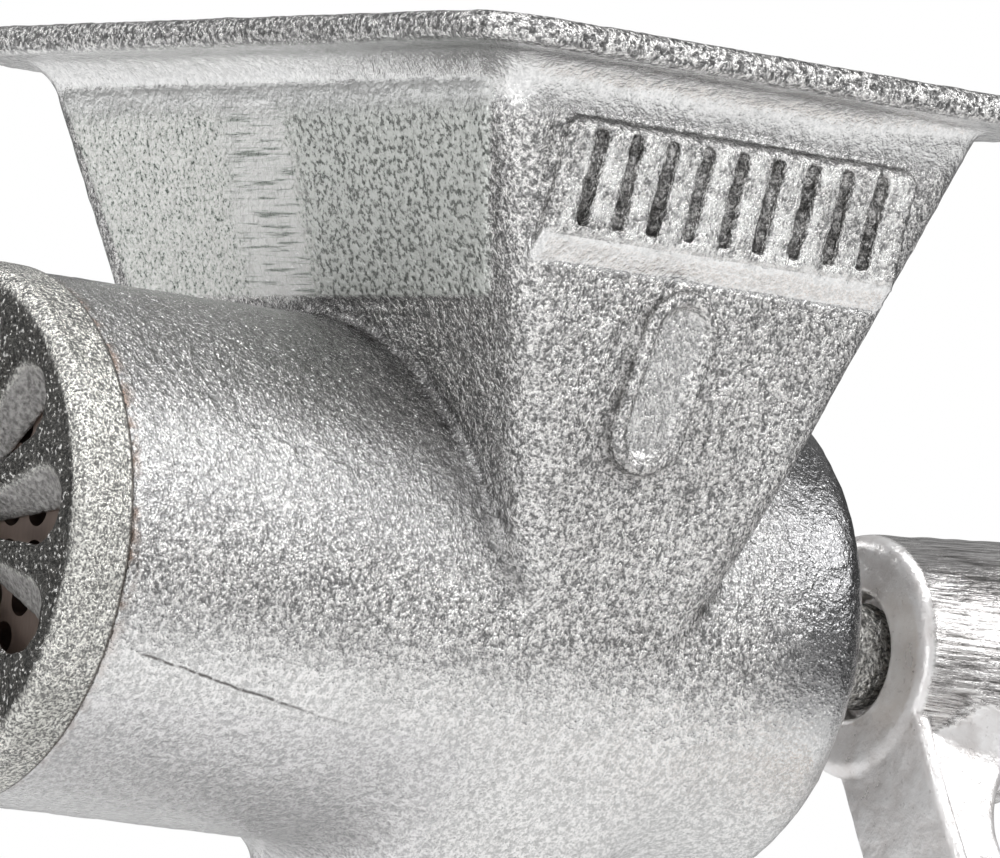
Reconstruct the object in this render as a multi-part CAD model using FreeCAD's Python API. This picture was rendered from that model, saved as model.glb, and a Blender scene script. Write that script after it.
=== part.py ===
import FreeCAD, Part
import math
import os
from FreeCAD import Vector

# Hand crank meat grinder, number 8 trade size, clamped to a table edge. Millimetres.
# Frame: origin at the centre of the upper jaw's face that sits on the table top, +Z up,
# +X towards the crank, so the discharge end faces -X. The barrel's axis runs along X.
# Barrel pieces are drawn in the barrel's own frame, X = 0 at the seam between the barrel
# and the front ring and Z = 0 on its axis, and are then seated above the jaw.

os.makedirs("parts", exist_ok=True)

# ---- driving dimensions ----
barrel_front_x = -48.0       # seam plane, from the centre of the jaw
barrel_axis_height = 100.0   # above the table top

barrel_wall = 6.4
barrel_length = 131.8
barrel_rear_round = 6.0
barrel_back_wall = 12.0

plate_radius = 31.0          # the number 8 plate, 62 mm across
plate_thickness = 5.0
plate_bore_radius = 4.05
plate_hole_radius = 2.3
plate_hole_gap = 1.7         # metal left between holes
plate_seat_clearance = 0.3

ring_length = 9.2
ring_face = 4.2              # slotted face of the ring
ring_overhang = 0.7          # the ring stands out past the barrel
ring_corner = 2.2
ring_windows = 11
ring_window_skew = 16.0      # degrees that a window turns from front to back
ring_window_rim = 5.6        # from a window's outer end to the ring's edge
ring_window_inner = 12.0
ring_window_half_width = 5.6
ring_window_half_root = 2.2
ring_first_window = 170.6    # degrees round the axis, from +Y towards +Z
ring_eye_radius = 6.0

neck_wall = 3.9              # threaded neck that the ring screws on
neck_gap = 0.4               # neck's end face to the ring's face
neck_thread_depth = 0.9
neck_thread_pitch = 2.0
neck_thread_clearance = 0.25

seam_gap = 0.15

key_pin_radius = 1.6
key_pin_reach = 2.4          # how far the pin stands into the plate's notch
key_pin_bury = 2.2
key_pin_set_back = 2.5       # behind the neck's end face
key_clearance = 0.3

hopper_behind = 32.8         # barrel's end to the hopper's rear wall, at axis height
hopper_length = 33.2         # front wall to rear wall, at axis height
hopper_bulge = 5.6           # how far the side walls stand out past the barrel there
hopper_front_slope = 0.355
hopper_rear_slope = 0.367
hopper_side_slope = 0.227
hopper_rise = 31.2           # barrel's top to the top of the walls
rim_height = 8.8
hopper_corner = 5.6
hopper_wall = 4.0
rim_overhang = 10.1
rim_bead = 4.4
rim_edge_round = 1.6
rim_mouth_flare = 6.0
throat_inset = 4.3           # feed throat's side to the bore's side, at axis height
throat_shoulder = 1.3        # below the bore's top, where the hopper's inside is at full width
hopper_root_rise = 9.7      # barrel's bottom up to where the hopper's flanks end in it
hopper_root_inset = 5.0

panel_drop = 3.9             # top of the walls to the framed panel on each side
panel_height = 17.5
panel_front_inset = 2.0      # from the wall's front and rear edges to the panel's
panel_rear_inset = 3.4
panel_depth = 1.0
flute_count = 9
flute_radius = 1.7
flute_margin = 5.0
boss_drop = 15.5             # panel's lower edge to the centre of the plain oval boss
boss_shift = 3.5             # boss centre, in front of the middle of the panel
boss_half_width = 7.0
boss_height = 28.0
boss_proud = 1.0

rear_boss_wall = 2.5
rear_boss_length = 14.0

journal_radius = 8.0
journal_clearance = 0.05
bush_wall = 1.8
thrust_washer_radius = 22.0
thrust_washer_thickness = 2.0
thrust_play = 0.1
washer_clearance = 0.3

screw_clearance = 0.7        # feed screw's flights to the barrel's bore
screw_front = 8.5
screw_core_front = 11.0
screw_core_rear = 16.0
flight_pitch = 38.0
flight_root = 8.0
flight_tip = 4.5
flight_bury = 2.6            # how deep the flight's root lies inside the core
journal_proud = 12.2         # journal past the rear boss, where the square starts
square_across = 10.5
square_clearance = 0.1

stud_square = 9.0
stud_pilot_clearance = 0.05
stud_shank_radius = 5.0
stud_shank_length = 16.0

knife_thickness = 6.0
knife_hub_radius = 9.0
knife_inset = 2.0            # blade tips to the plate's edge
knife_blades = 4
knife_blade_root = 5.0
knife_blade_tip = 3.4
knife_gap = 0.1

crank_hub_radius = 18.1      # at its face towards the barrel
crank_hub_rear_radius = 20.0
crank_hub_length = 28.0
crank_hub_round = 2.0
hub_recess_depth = 5.0       # the recess in the hub's face that clears the journal
hub_recess_clearance = 1.5
journal_in_hub = 3.0         # how far the journal reaches into that recess
crank_length = 170.0
crank_offset = 14.0          # the arm's end stands this much further from the barrel
crank_rest_angle = -31.0     # from hanging straight down, towards -Y
arm_set_back = 0.6
arm_root_width = 20.0
arm_end_width = 15.0
arm_flange = 3.0             # the flat front of the arm
arm_back_height = 9.0        # the body behind the flat, at the hub
arm_back_inset = 1.5         # how much narrower that body is, each side
arm_bend_from_hub = 8.0      # where the arm starts to bend outwards
arm_bend_share = 0.72        # where the bend ends, along the crank's length
arm_eye_radius = 12.0
arm_eye_length = 12.0

wing_screw_radius = 4.0
wing_screw_depth = 20.0
wing_screw_head_radius = 9.0
wing_screw_head_length = 8.0
wing_screw_span = 23.0
wing_screw_wing_height = 15.0
wing_screw_wing = 4.0
crank_washer_radius = 12.5
crank_washer_thickness = 2.0

spindle_radius = 4.0
spindle_head_radius = 8.0
spindle_head = 3.0
spindle_clearance = 0.08
rivet_head = 2.5
rivet_head_radius = 6.5
grip_washer_thickness = 1.5
grip_length = 92.0
grip_end_radius = 11.0
grip_belly_radius = 16.5
grip_play = 0.4
ferrule_length = 9.0
ferrule_wall = 0.9

jaw_length = 48.0
jaw_width = 42.0
jaw_thickness = 8.0
jaw_corner = 6.0
throat_depth = 28.0          # jaw centre to the clamp frame's back
clamp_opening = 64.0
frame_thickness = 16.0
frame_width = 26.0
frame_edge_round = 2.5
frame_inner_round = 8.0
frame_outer_round = 15.0
frame_jaw_cover = 6.0        # metal above the jaw, where the leg stands on it
arm_boss_radius = 14.0
arm_boss_length = 20.0

leg_before_hopper = 6.0      # the leg's top reaches this far in front of the hopper
leg_behind_hopper = 5.0
leg_side_inset = 12.7        # leg's top half width, less than the barrel's radius
leg_waist_half = 14.0
leg_waist_drop = 19.6        # from the barrel's underside down to the leg's narrow part
leg_waist_shift = 4.0        # how far the narrow part stands forward of the leg's top
leg_waist_length = 44.0
leg_foot_half = 13.0
leg_corner = 6.0
leg_top_spread = 6.0         # how much further forward the leg runs inside the barrel
leg_neck_inset = 2.0         # just under the barrel the leg is this much shorter at its front
leg_jaw_inset = 8.0          # from the jaw's front end to the leg's foot

clamp_screw_radius = 6.0
clamp_thread_pitch = 2.5
clamp_thread_depth = 1.2
clamp_screw_clearance = 0.1
clamp_screw_spare = 44.0     # screw length over the clamp's opening
pad_rest_gap = 32.0          # table face to pad at rest
pad_radius = 17.0
pad_thickness = 8.0
pad_rim = 3.0
pad_cup_depth = 3.0
pad_neck_radius = 4.0
pad_clearance = 0.08
pad_washer_radius = 8.0
pad_washer_thickness = 1.4
clamp_wing_hub_radius = 10.0
clamp_wing_hub_length = 16.0
clamp_wing_span = 31.0
clamp_wing_height = 20.0
clamp_wing_thickness = 5.0
wing_pin_radius = 1.75

# ---- sizes that follow from them ----
bore_radius = plate_radius + plate_seat_clearance
barrel_radius = bore_radius + barrel_wall
ring_radius = barrel_radius + ring_overhang
neck_radius = bore_radius + neck_wall
neck_length = ring_length - ring_face - neck_gap
plate_front = ring_face - ring_length
bore_end = barrel_length - barrel_back_wall
bush_radius = journal_radius + journal_clearance + bush_wall
bush_end = barrel_length + rear_boss_length
rear_boss_radius = bush_radius + rear_boss_wall
neck_end = bush_end + journal_proud
hub_front = neck_end - journal_in_hub
hub_rear = hub_front + crank_hub_length
pilot_radius = plate_bore_radius - stud_pilot_clearance
knife_front = plate_front + plate_thickness + knife_gap
knife_reach = plate_radius - knife_inset
ring_window_outer = ring_radius - ring_window_rim
hopper_rear = barrel_length - hopper_behind
hopper_front = hopper_rear - hopper_length
hopper_side = barrel_radius + hopper_bulge
hopper_wall_top = barrel_radius + hopper_rise
hopper_rim_top = hopper_wall_top + rim_height
throat_side = bore_radius - throat_inset
throat_widest_height = bore_radius - throat_shoulder
hopper_root_depth = barrel_radius - hopper_root_rise
panel_top = hopper_wall_top - panel_drop
panel_bottom = panel_top - panel_height
panel_front = hopper_front - hopper_front_slope * panel_bottom + panel_front_inset
panel_rear = hopper_rear + hopper_rear_slope * panel_bottom - panel_rear_inset
boss_centre_x = (panel_front + panel_rear) / 2 - boss_shift
boss_centre_z = panel_bottom - boss_drop
leg_top_front = hopper_front - leg_before_hopper
leg_top_rear = hopper_rear + leg_behind_hopper
leg_top_half = barrel_radius - leg_side_inset
clamp_screw_length = clamp_opening + clamp_screw_spare
X_AXIS = Vector(1, 0, 0)
Y_AXIS = Vector(0, 1, 0)
Z_AXIS = Vector(0, 0, 1)
CENTRE = Vector(0, 0, 0)
BIG = 400.0                  # larger than the object, for cutting blocks


# ---- helpers ----
def rod(radius, x0, x1):
    """A round bar along X from x0 to x1."""
    return Part.makeCylinder(radius, x1 - x0, Vector(x0, 0, 0), X_AXIS)


def post(radius, z0, z1):
    """A round bar along Z from z0 to z1."""
    return Part.makeCylinder(radius, z1 - z0, Vector(0, 0, z0), Z_AXIS)


def block(x0, x1, y0, y1, z0, z1):
    return Part.makeBox(x1 - x0, y1 - y0, z1 - z0, Vector(x0, y0, z0))


def corner_arc(before, corner, after, radius):
    """The arc that rounds one corner of an outline: its first, middle and last point."""
    back = (before - corner).normalize()
    on = (after - corner).normalize()
    half = back.getAngle(on) / 2
    reach = radius / math.tan(half)
    middle_dir = (back + on).normalize()
    centre = corner + middle_dir * (radius / math.sin(half))
    return corner + back * reach, centre - middle_dir * radius, corner + on * reach


def rounded_outline(points):
    """A closed wire through (Vector, radius) corners, each rounded by its own radius."""
    arcs = []
    count = len(points)
    for i in range(count):
        corner, radius = points[i]
        before = points[i - 1][0]
        after = points[(i + 1) % count][0]
        if radius > 0:
            arcs.append(corner_arc(before, corner, after, radius))
        else:
            arcs.append((corner, None, corner))
    edges = []
    for i in range(count):
        start, middle, end = arcs[i]
        if middle is not None:
            edges.append(Part.Arc(start, middle, end).toShape())
        edges.append(Part.makeLine(end, arcs[(i + 1) % count][0]))
    return Part.Wire(edges)


def rectangle(x0, x1, half_y, z, radius):
    """A level rounded rectangle, symmetric about Y = 0."""
    corners = [(x0, -half_y), (x1, -half_y), (x1, half_y), (x0, half_y)]
    return rounded_outline([(Vector(x, y, z), radius) for x, y in corners])


def pair_of_ends(start, root, end, tip, axis, height):
    """A bar with round ends: half width root at start, half width tip at end, as a wire at X = height."""
    along = (end - start).normalize()
    distance = (end - start).Length
    lean = math.asin((root - tip) / distance)
    side = axis.cross(along)
    up = side * math.cos(lean) + along * math.sin(lean)
    down = side * -math.cos(lean) + along * math.sin(lean)
    shift = axis * height
    a, b = start + up * root + shift, start + down * root + shift
    c, d = end + down * tip + shift, end + up * tip + shift
    root_mid = start - along * root + shift
    tip_mid = end + along * tip + shift
    return Part.Wire([
        Part.Arc(a, root_mid, b).toShape(),
        Part.makeLine(b, c),
        Part.Arc(c, tip_mid, d).toShape(),
        Part.makeLine(d, a),
    ])


def helix_ridge(radius_in, radius_out, root, tip, pitch, z0, z1, left_hand):
    """A helical ridge round Z with a tapered section, from below z0 to above z1."""
    path = Part.makeLongHelix(pitch, z1 - z0, radius_in, 0, left_hand)
    section = Part.makePolygon([
        Vector(radius_in, 0, -root / 2),
        Vector(radius_out, 0, -tip / 2),
        Vector(radius_out, 0, tip / 2),
        Vector(radius_in, 0, root / 2),
        Vector(radius_in, 0, -root / 2),
    ])
    ridge = Part.Wire(path.Edges).makePipeShell([section], True, True)
    ridge.translate(Vector(0, 0, z0))
    return ridge


def along_x(shape):
    """Turns a shape drawn along +Z to lie along +X."""
    shape.rotate(CENTRE, Y_AXIS, 90)
    return shape


def seat(shape):
    """Moves a barrel piece from the barrel's frame to its place above the jaw."""
    shape.translate(Vector(barrel_front_x, 0, barrel_axis_height))
    return shape


def keep(name, shape):
    """Writes one piece, after saying what it is made of."""
    print(name, "solids", len(shape.Solids), "valid", shape.isValid(), "cm3 %.2f" % (shape.Volume / 1000))
    shape.exportStep("parts/" + name + ".step")


# ---- body casting ----
def hopper_section(height, grow, radius):
    """The hopper's outline at a height above the axis, moved outwards by grow."""
    x0 = hopper_front - hopper_front_slope * height - grow
    x1 = hopper_rear + hopper_rear_slope * height + grow
    return rectangle(x0, x1, hopper_side + hopper_side_slope * height + grow, height, radius)


def hopper_outside():
    walls = Part.makeLoft([hopper_section(0, 0, hopper_corner), hopper_section(hopper_wall_top, 0, hopper_corner)],
                          True, True)
    # under the rim the wall sweeps outwards in a quarter-round cove
    cove_height = hopper_rim_top - rim_bead - hopper_wall_top
    steps = 5
    coves = []
    for i in range(steps + 1):
        angle = math.pi / 2 * i / steps
        grow = rim_overhang * (1 - math.cos(angle))
        height = hopper_wall_top + cove_height * math.sin(angle)
        coves.append(hopper_section(height, grow, hopper_corner + grow / 2))
    cove = Part.makeLoft(coves, True, True)
    bead_low = hopper_section(hopper_rim_top - rim_bead, rim_overhang, hopper_corner + rim_overhang / 2)
    bead = Part.Face(bead_low).extrude(Vector(0, 0, rim_bead))
    bead_edges = [e for e in bead.Edges if abs(e.BoundBox.ZLength) < 0.01]
    bead = bead.makeFillet(rim_edge_round, bead_edges)
    # below the axis the flanks run into the barrel
    root_x0 = hopper_front + hopper_root_inset
    root_x1 = hopper_rear - hopper_root_inset
    root_half = math.sqrt(barrel_radius ** 2 - hopper_root_depth ** 2) - 1
    root = Part.makeLoft([
        hopper_section(0, 0, hopper_corner),
        rectangle(root_x0, root_x1, root_half, -hopper_root_depth, hopper_corner),
    ], True, True)
    return walls.fuse([cove, bead, root])


def hopper_inside():
    """The hopper's hollow, from the rim down through the feed throat."""
    flare_start = hopper_wall_top - hopper_wall
    inner_corner = hopper_corner - 2
    front_low = hopper_front + hopper_wall
    rear_low = hopper_rear - hopper_wall
    low = rectangle(front_low, rear_low, throat_side, 0, inner_corner)
    wide = hopper_section(throat_widest_height, -hopper_wall, inner_corner)
    high = hopper_section(flare_start, -hopper_wall, inner_corner)
    mouth = hopper_section(hopper_rim_top, rim_mouth_flare - hopper_wall, inner_corner + 2)
    over = Part.Face(mouth).extrude(Vector(0, 0, hopper_wall))
    return [
        Part.makeLoft([low, wide], True, True),
        Part.makeLoft([wide, high], True, True),
        Part.makeLoft([high, mouth], True, True),
        over,
    ]


def wall_frame(side):
    """Turns a shape drawn on the plane Y = 0, facing -Y, onto the hopper's near or far wall."""
    lean = math.degrees(math.atan(hopper_side_slope))

    def place(shape):
        shape.rotate(CENTRE, X_AXIS, lean)
        shape.translate(Vector(0, -hopper_side, 0))
        if side > 0:
            shape = shape.mirror(CENTRE, Y_AXIS)
        return shape
    return place


def panel_tools(side):
    """What is cut from and added to one side wall: a sunk panel with upright flutes, and an oval boss."""
    place = wall_frame(side)
    stretch = math.sqrt(1 + hopper_side_slope ** 2)
    low, high = panel_bottom * stretch, panel_top * stretch
    sunk = block(panel_front, panel_rear, -1, panel_depth, low, high)
    sunk = sunk.makeFillet(2.0, [e for e in sunk.Edges if e.BoundBox.YLength > 0.5])
    flutes = []
    first = panel_front + flute_margin
    step = (panel_rear - flute_margin - first) / (flute_count - 1)
    for i in range(flute_count):
        x = first + step * i
        bar = Part.makeCylinder(flute_radius, high - low - 4, Vector(x, panel_depth + 0.2, low + 2), Z_AXIS)
        flutes.append(place(bar))
    half_run = boss_height / 2 - boss_half_width
    middle = Vector(boss_centre_x, 0, boss_centre_z * stretch)
    ends = [middle - Z_AXIS * half_run, middle + Z_AXIS * half_run]
    oval = Part.Face(pair_of_ends(ends[0], boss_half_width, ends[1], boss_half_width, Y_AXIS, -boss_proud))
    boss = oval.extrude(Vector(0, boss_proud + 1, 0))
    top_edges = [e for e in boss.Edges if e.BoundBox.YMax < -boss_proud + 0.01]
    boss = boss.makeFillet(boss_proud * 0.8, top_edges)
    return place(sunk), flutes, place(boss)


def leg():
    """The foot of the casting, from the barrel down to the jaw."""
    top_z = -math.sqrt(barrel_radius ** 2 - leg_top_half ** 2) + 4
    foot_z = jaw_thickness / 2 - barrel_axis_height
    foot_x0 = -barrel_front_x - jaw_length / 2 + leg_jaw_inset
    foot_x1 = -barrel_front_x + throat_depth + frame_thickness - leg_corner
    waist_x0 = leg_top_front - leg_waist_shift
    sections = [
        rectangle(leg_top_front - leg_top_spread, leg_top_rear, leg_top_half, top_z, leg_corner),
        rectangle(leg_top_front + leg_neck_inset, leg_top_rear - 2 * leg_neck_inset, leg_top_half - leg_corner,
                  -barrel_radius - leg_neck_inset, leg_corner),
        rectangle(waist_x0, waist_x0 + leg_waist_length, leg_waist_half, -barrel_radius - leg_waist_drop, leg_corner),
        rectangle(foot_x0, foot_x1, leg_foot_half, foot_z, leg_corner),
    ]
    return Part.makeLoft(sections, True, False)


def clamp_frame():
    """The C-shaped frame, open towards -X, with its jaw, back, lower arm and screw boss."""
    arm_top = -clamp_opening
    arm_bottom = -clamp_opening - frame_thickness
    back_in = throat_depth
    back_out = throat_depth + frame_thickness
    nose = -arm_boss_radius + 4
    half = frame_width / 2
    outline = rounded_outline([
        (Vector(-jaw_length / 2 + 6, -half, 0), 2.6),
        (Vector(back_in, -half, 0), frame_inner_round),
        (Vector(back_in, -half, arm_top), frame_inner_round),
        (Vector(nose, -half, arm_top), 4.0),
        (Vector(nose, -half, arm_bottom), 4.0),
        (Vector(back_out, -half, arm_bottom), frame_outer_round),
        (Vector(back_out, -half, jaw_thickness + frame_jaw_cover), jaw_corner),
        (Vector(-jaw_length / 2 + 14, -half, jaw_thickness + frame_jaw_cover), jaw_corner),
    ])
    frame = Part.Face(outline).extrude(Vector(0, frame_width, 0))
    rims = [e for e in frame.Edges if e.BoundBox.YLength < 0.01 and e.BoundBox.ZMin < -1]
    frame = frame.makeFillet(frame_edge_round, rims)
    jaw = Part.Face(rectangle(-jaw_length / 2, jaw_length / 2, jaw_width / 2, 0, jaw_corner))
    jaw = jaw.extrude(Vector(0, 0, jaw_thickness))
    jaw = jaw.makeFillet(2.0, [e for e in jaw.Edges if e.BoundBox.ZMin > jaw_thickness - 0.01])
    boss_top = arm_top + 2
    boss = post(arm_boss_radius, boss_top - arm_boss_length, boss_top)
    boss = boss.makeChamfer(1.2, [e for e in boss.Edges if e.BoundBox.ZLength < 0.01])
    return frame.fuse([jaw, boss])


def body_casting():
    shell = rod(barrel_radius, 0, barrel_length)
    rear_edge = [e for e in shell.Edges if e.BoundBox.XMin > barrel_length - 0.01]
    shell = shell.makeFillet(barrel_rear_round, rear_edge)
    rear_boss = rod(rear_boss_radius, barrel_length - 1, bush_end)
    neck = rod(neck_radius - neck_thread_depth, -neck_length, 1)
    thread = helix_ridge(neck_radius - neck_thread_depth - 0.4, neck_radius, 1.5, 0.4, neck_thread_pitch,
                         -neck_length, -neck_thread_pitch * 0.6, False)
    thread = along_x(thread).common(rod(neck_radius + 1, -neck_length, 0.5))
    outside = shell.fuse([rear_boss, neck, hopper_outside(), leg()])
    cuts = [rod(bore_radius, -neck_length - 1, bore_end), rod(bush_radius, bore_end - 1, bush_end + 1)]
    cuts += hopper_inside()
    adds = [thread]
    for side in (-1, 1):
        sunk, flutes, boss = panel_tools(side)
        cuts.append(sunk)
        adds += flutes + [boss]
    pin_x = -neck_length + key_pin_set_back
    pin_start = Vector(pin_x, 0, 1 - bore_radius)
    pin_hole = Part.makeCylinder(key_pin_radius, key_pin_bury + 1, pin_start, Vector(0, 0, -1))
    casting = outside.cut(cuts)
    casting = casting.fuse(adds).cut(pin_hole)
    casting = seat(casting).fuse(clamp_frame())
    hole = post(clamp_screw_radius + clamp_screw_clearance, -BIG, -clamp_opening / 2)
    return casting.cut(hole).removeSplitter()


# ---- barrel fittings ----
def rear_bush():
    outer = rod(bush_radius, bore_end, bush_end)
    return seat(outer.cut(rod(journal_radius + journal_clearance, bore_end - 1, bush_end + 1)))


def thrust_washer():
    x1 = bore_end
    x0 = x1 - thrust_washer_thickness
    disc = rod(thrust_washer_radius, x0, x1)
    return seat(disc.cut(rod(journal_radius + washer_clearance, x0 - 1, x1 + 1)))


def plate_key_pin():
    x = -neck_length + key_pin_set_back
    start = Vector(x, 0, -bore_radius + key_pin_reach)
    pin = Part.makeCylinder(key_pin_radius, key_pin_reach + key_pin_bury, start, Vector(0, 0, -1))
    return seat(pin.makeChamfer(0.4, [pin.Edges[0]]))


# ---- cutting end ----
def plate_holes():
    """Rings of holes, each ring as full as the gap between holes allows."""
    pitch = 2 * plate_hole_radius + plate_hole_gap
    ring = plate_bore_radius + plate_hole_gap + plate_hole_radius + 1
    holes = []
    while ring + plate_hole_radius < plate_radius - key_pin_reach - plate_hole_gap:
        count = int(2 * math.pi * ring / pitch)
        for i in range(count):
            angle = 2 * math.pi * i / count
            at = Vector(plate_front - 1, ring * math.cos(angle), ring * math.sin(angle))
            holes.append(Part.makeCylinder(plate_hole_radius, plate_thickness + 2, at, X_AXIS))
        ring += pitch
    return holes


def hole_plate():
    x1 = plate_front + plate_thickness
    disc = rod(plate_radius, plate_front, x1)
    disc = disc.makeChamfer(0.4, [e for e in disc.Edges if e.BoundBox.XLength < 0.01])
    half = key_pin_radius + key_clearance
    notch = block(plate_front - 1, x1 + 1, -half, half, -bore_radius - 1, key_pin_reach + key_clearance - bore_radius)
    eye = rod(plate_bore_radius, plate_front - 1, x1 + 1)
    return seat(disc.cut([eye, notch] + plate_holes()))


def front_ring():
    body = rod(ring_radius, -ring_length, -seam_gap)
    front = [e for e in body.Edges if e.BoundBox.XMax < -ring_length + 0.01]
    body = body.makeFillet(ring_corner, front)
    hollow = rod(neck_radius + neck_thread_clearance, -ring_length + ring_face, 1)
    cuts = [hollow, rod(ring_eye_radius, -ring_length - 1, 1)]
    start = Vector(0, ring_window_inner, 0)
    end = Vector(0, ring_window_outer - ring_window_half_width, 0)
    x0, x1 = -ring_length - 0.5, -ring_length + ring_face + 0.5
    skew = ring_window_skew * (x1 - x0) / ring_face
    for i in range(ring_windows):
        front_shape = pair_of_ends(start, ring_window_half_root, end, ring_window_half_width, X_AXIS, x0)
        back_shape = pair_of_ends(start, ring_window_half_root, end, ring_window_half_width, X_AXIS, x1)
        back_shape.rotate(CENTRE, X_AXIS, skew)
        window = Part.makeLoft([front_shape, back_shape], True, True)
        window.rotate(CENTRE, X_AXIS, ring_first_window + 360 * i / ring_windows)
        cuts.append(window)
    return seat(body.cut(cuts))


def cutting_knife():
    x1 = knife_front + knife_thickness
    hub = rod(knife_hub_radius, knife_front, x1)
    blades = []
    start = CENTRE
    end = Vector(0, knife_reach - knife_blade_tip, 0)
    for i in range(knife_blades):
        outline = pair_of_ends(start, knife_blade_root, end, knife_blade_tip, X_AXIS, knife_front)
        blade = Part.Face(outline).extrude(Vector(knife_thickness, 0, 0))
        # the blade's back is bevelled towards its trailing edge
        bevel = block(0, 20, 0, BIG, -10, 10)
        bevel.rotate(CENTRE, Y_AXIS, -32)
        bevel.translate(Vector(knife_front + knife_thickness * 0.6, knife_hub_radius, 0))
        blade = blade.cut(bevel)
        blade.rotate(CENTRE, X_AXIS, 360 * i / knife_blades)
        blades.append(blade)
    half = stud_square / 2 + square_clearance
    eye = block(knife_front - 1, x1 + 1, -half, half, -half, half)
    return seat(hub.fuse(blades).cut(eye))


def knife_stud():
    """The square stud that turns the knife, with a round pilot that runs in the plate."""
    half = stud_square / 2
    pilot = rod(pilot_radius, plate_front - 1.5, knife_front)
    pilot = pilot.makeChamfer(0.8, [e for e in pilot.Edges if e.BoundBox.XMax < plate_front - 1])
    square = block(knife_front, screw_front, -half, half, -half, half)
    shank = rod(stud_shank_radius, screw_front, screw_front + stud_shank_length)
    return seat(pilot.fuse([square, shank]))


def feed_screw():
    rear = bore_end - thrust_washer_thickness - thrust_play
    length = rear - screw_front
    core = Part.makeCone(screw_core_front, screw_core_rear, length, Vector(screw_front, 0, 0), X_AXIS)
    flight_radius = bore_radius - screw_clearance
    ridge = helix_ridge(screw_core_front - flight_bury, flight_radius, flight_root, flight_tip, flight_pitch,
                        screw_front - flight_pitch / 4, rear + flight_pitch / 8, True)
    ridge = along_x(ridge).common(rod(flight_radius + 1, screw_front, rear))
    collar = rod(thrust_washer_radius - 2, rear - 5, rear)
    journal = rod(journal_radius, rear - 1, neck_end)
    journal = journal.makeChamfer(1.0, [e for e in journal.Edges if e.BoundBox.XMin > neck_end - 0.01])
    half = square_across / 2
    square_end = hub_rear - 2
    square = block(neck_end - 1, square_end, -half, half, -half, half)
    square = square.makeChamfer(1.0, [e for e in square.Edges if e.BoundBox.XMin > square_end - 0.01])
    # the square is turned with the crank, which hangs at its rest angle
    square.rotate(CENTRE, X_AXIS, crank_rest_angle)
    shape = core.fuse([ridge, collar, journal, square])
    socket = rod(stud_shank_radius, screw_front - 1, screw_front + stud_shank_length)
    tapped = rod(wing_screw_radius, hub_rear - wing_screw_depth, hub_rear + 1)
    return seat(shape.cut([socket, tapped]))


# ---- crank ----
def crank_eye_x():
    """The grip end's front face, further from the barrel than the arm's root."""
    return hub_front + arm_set_back + crank_offset


def arm_plan(inset):
    """What lies inside the arm's outline seen along the barrel, narrower by inset each side."""
    start = Vector(0, 0, 0)
    end = Vector(0, 0, -crank_length)
    outline = pair_of_ends(start, arm_root_width / 2 - inset, end, arm_end_width / 2 - inset, X_AXIS, hub_front - 1)
    return Part.Face(outline).extrude(Vector(crank_hub_length + crank_offset, 0, 0))


def arm_layer(points, inset):
    """A side outline of the arm, given by (Vector, radius) corners, made as wide as the arm's plan."""
    layer = Part.Face(rounded_outline(points)).extrude(Vector(0, 2 * arm_root_width, 0))
    layer.translate(Vector(0, -arm_root_width, 0))
    return layer.common(arm_plan(inset))


def crank_arm():
    rounded = crank_hub_length - crank_hub_round
    hub = Part.makeCone(crank_hub_radius, crank_hub_rear_radius, crank_hub_length, Vector(hub_front, 0, 0), X_AXIS)
    hub = hub.makeFillet(crank_hub_round, [e for e in hub.Edges if e.BoundBox.XLength < 0.01])
    x0 = hub_front + arm_set_back
    x1 = x0 + arm_flange
    eye_x = crank_eye_x()
    eye_back = eye_x + arm_flange
    # the arm is bent so that its end stands away from the barrel
    bend_start = crank_hub_radius + arm_bend_from_hub
    bend_end = crank_length * arm_bend_share
    flat = arm_layer([
        (Vector(x0, 0, 4), 0),
        (Vector(x0, 0, -bend_start), 30),
        (Vector(eye_x, 0, -bend_end), 30),
        (Vector(eye_x, 0, -crank_length), 0),
        (Vector(eye_back, 0, -crank_length), 0),
        (Vector(eye_back, 0, -bend_end), 30 + arm_flange),
        (Vector(x1, 0, -bend_start), 30 - arm_flange),
        (Vector(x1, 0, 4), 0),
    ], 0)
    back = arm_layer([
        (Vector(x0 + 1, 0, 0), 0),
        (Vector(x0 + 1, 0, -bend_start), 30),
        (Vector(eye_x + 1, 0, -bend_end), 30),
        (Vector(eye_x + 1, 0, -crank_length), 0),
        (Vector(eye_back + arm_back_height * 0.4, 0, -crank_length), 0),
        (Vector(eye_back + arm_back_height * 0.5, 0, -bend_end), 40),
        (Vector(x1 + arm_back_height, 0, -bend_start - arm_back_height), 16),
        (Vector(hub_front + rounded - 1, 0, -crank_hub_radius + 2), 0),
        (Vector(hub_front + rounded - 1, 0, 0), 0),
    ], arm_back_inset)
    eye = Part.makeCylinder(arm_eye_radius, arm_eye_length, Vector(eye_x, 0, -crank_length), X_AXIS)
    eye = eye.makeFillet(1.5, [e for e in eye.Edges if e.BoundBox.XLength < 0.01])
    half = square_across / 2 + square_clearance
    square = block(hub_front - 1, hub_rear + 1, -half, half, -half, half)
    recess = rod(journal_radius + hub_recess_clearance, hub_front - 1, hub_front + hub_recess_depth)
    pin_hole = Part.makeCylinder(spindle_radius, BIG, Vector(0, 0, -crank_length), X_AXIS)
    return hub.fuse([flat, back, eye]).cut([square, recess, pin_hole]).removeSplitter()


def grip_frame(shape):
    """Moves a piece drawn along X from the grip's inner end to its place on the crank."""
    shape.translate(Vector(crank_eye_x() + arm_eye_length, 0, -crank_length))
    return shape


def hang(shape):
    """Turns a crank piece, drawn hanging straight down, to its rest angle and seats it."""
    shape.rotate(CENTRE, X_AXIS, crank_rest_angle)
    return seat(shape)


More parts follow.
